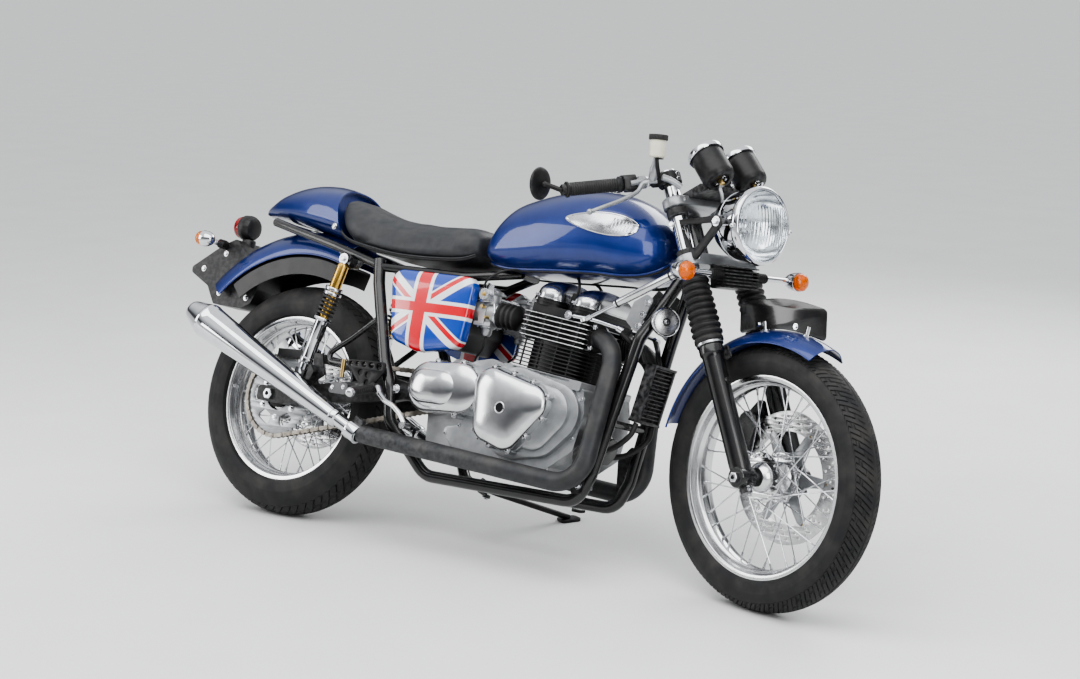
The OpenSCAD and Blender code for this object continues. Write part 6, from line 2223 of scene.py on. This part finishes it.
# %% Footrests and foot levers
rests = Shape(UPRIGHT)
plate_edge = round_outline([(274, 442), (412, 447), (413, 421), (373, 369), (351, 369)], 9, 5)
holes = [circle((x, z), r, 28) for x, z, r in ((300, 432, 6), (322, 434, 6), (344, 434, 7), (368, 434, 8),
                                               (394, 434, 9), (336, 412, 8), (362, 408, 9), (362, 388, 8))]
for side in SIDES:
    rests.add(drilled([plate_edge] + holes, 8, 1.0), SATIN_BLACK,
              around_axle(Vector((0, side * 176, 0))))
    rests.add(flat_plate([(243, 347), (310, 347), (312, 378), (262, 376)], 9, side * 190, 4),
              GREY_SHIELD)
    start, end = Vector((388, side * 180, 377)), Vector((408, side * 290, 353))
    line = (end - start).normalized()
    length = (end - start).length
    peg = [(0.1, 0), (12, 0), (12, 8), (9, 12)]
    for k in range(9):
        z = 18 + (length - 26) * k / 9
        step = (length - 26) / 9
        peg += [(9.6, z), (11, z + 0.2 * step), (11, z + 0.7 * step), (9.6, z + 0.9 * step)]
    peg += [(11.5, length - 8), (12, length - 5), (12, length), (0.1, length)]
    rests.add(turned(peg, 48), SOFT_RUBBER, facing(start, line))
    rests.add(ball((409, side * 296, 352), 13, 40), POLISHED)
    rests.add(rod((388, side * 170, 377), (388, side * 184, 377), 13, 40), SATIN_BLACK)
    pedal = smooth_path([(418, side * 188, 366), (450, side * 200, 348), (480, side * 204, 338),
                         (510, side * 206, 318), (535, side * 210, 292)], 8)
    rests.add(swept(pedal, [8, 7.4, 7, 6.6, 6.2], 24), POLISHED)
    tread = POLISHED if side < 0 else SOFT_RUBBER
    rests.add(rod((535, side * 196, 292), (535, side * 224, 292), 9, 32), tread)
    rests.add(rod((405, side * 182, 380), (420, side * 190, 364), 9, 28), POLISHED)
    for x, z in ((262, 362), (298, 366)):
        rests.add(bolt((x, side * 192, z), (0, side, 0), 4.5, 4), STEEL)
        rests.add(rod((x, side * 178, z), (x, side * 190, z), 5, 20), SATIN_BLACK)
    rests.add(rod((276, side * 178, 392), (276, side * 181, 440), 6, 20), BRASS)
    rests.add(block((250, side * 180 - 4, 350), (320, side * 180 + 4, 372)), SATIN_BLACK)
    rests.add(flat_plate([(300, 352), (360, 372), (352, 388), (296, 372)], 5, side * 178, 6),
              SATIN_BLACK)
rests.make("rearset_footrests", "frame", ["footrests"], "satin_black", round_edges=0.8, segments=1)

# %% [markdown]
# The side stand swings about the bolt between its two lugs, and its foot is a flat plate that
# lies on the ground when the stand is down. It is drawn where it stands, in the frame's axes.

# %% Side stand
STAND_PIN = Vector(joints["stand_fold"]["pos_m"])
STAND_AXIS = Vector(joints["stand_fold"]["axis"])
STAND_FOOT = Vector((0.022, 0.147, 0.009))
stand = Shape(Matrix.Scale(0.001, 4))
pin, foot = STAND_PIN * 1000, STAND_FOOT * 1000
stand.add(turned(ring_of([(6.2, -7), (11.5, -7), (13, -5.5), (13, 5.5), (11.5, 7), (6.2, 7)]), 48),
          SATIN_BLACK, facing(pin, STAND_AXIS))
down = (foot - pin).normalized()
stand.add(swept([tuple(pin + 10 * down), tuple(pin + 30 * down), tuple(pin + 60 * down),
                 tuple(foot - 30 * down), tuple(foot)], [7, 8, 8, 8, 8], 32), SATIN_BLACK)
foot_at = Matrix.Translation(foot) @ turn_by(62, "Z")
sole = round_outline([(-30, -22), (30, -22), (30, 22), (-30, 22)], 12, 6)
stand.add(drilled([sole], 8, 1.5), SATIN_BLACK, foot_at @ shift(0, 0, -5))
stand.add(swept(smooth_path([(foot.x + 6, foot.y + 8, 30), (foot.x + 18, foot.y + 30, 22),
                             (foot.x + 22, foot.y + 44, 20)], 6), 5, 20), SATIN_BLACK)
stand.make("side_stand_leg", "side_stand", ["side_stand"], "satin_black", round_edges=0.8)

# %% Steering damper
damper_pin = leg_point(0, -138, 519)
damper_pin = (UPRIGHT.inverted() @ STEERED) @ leg_point(0, -138, 519)
damper_eye = Vector((976, -152, 621))
damper_way = (damper_eye - damper_pin).normalized()
damper_length = (damper_eye - damper_pin).length
damper_at = facing(damper_pin, damper_way)
tube = Shape(UPRIGHT)
tube.add(turned(ring_of([(5.2, 14), (9, 12), (10.5, 15), (10.5, 186), (9.6, 189), (5.2, 189)]), 48),
         POLISHED, damper_at)
for z in (24, 178):
    tube.add(turned(ring_of([(10.3, z), (11.1, z + 0.6), (11.1, z + 5), (10.3, z + 5.6)]), 48), GLOSS_BLACK,
             damper_at)
tube.add(rod(damper_pin - 5 * STEER_DIR, damper_pin + 5 * STEER_DIR, 11, 40), STEEL)
tube.add(bolt(damper_pin + 4 * STEER_DIR, STEER_DIR, 6, 5), CHROME)
tube.make("damper_tube", "damper_body", ["damper_body"], "bright_steel", round_edges=0.5)
shaft = Shape(UPRIGHT)
shaft.add(turned([(0.1, 66), (4.2, 66), (4.6, 68), (4.6, damper_length - 6), (0.1, damper_length - 6)], 40),
          CHROME, damper_at)
shaft.add(turned([(0.1, damper_length - 22), (7, damper_length - 22), (7, damper_length - 8),
                  (0.1, damper_length - 8)], 6), STEEL, damper_at)
shaft.add(turned(ring_of([(3.5, -5), (8, -5), (9, -4), (9, 4), (8, 5), (3.5, 5)]), 40), STEEL,
          facing(damper_eye, STEER_DIR))
shaft.add(bolt(damper_eye - 5 * STEER_DIR, STEER_DIR, 4.5, 12), CHROME)
shaft.make("damper_shaft", "damper_rod", ["damper_rod"], "chrome", round_edges=0.4)
# %% [markdown]
# ## Size
#
# The dressed machine must be exactly the size of the working one.

# %% A last import
import json
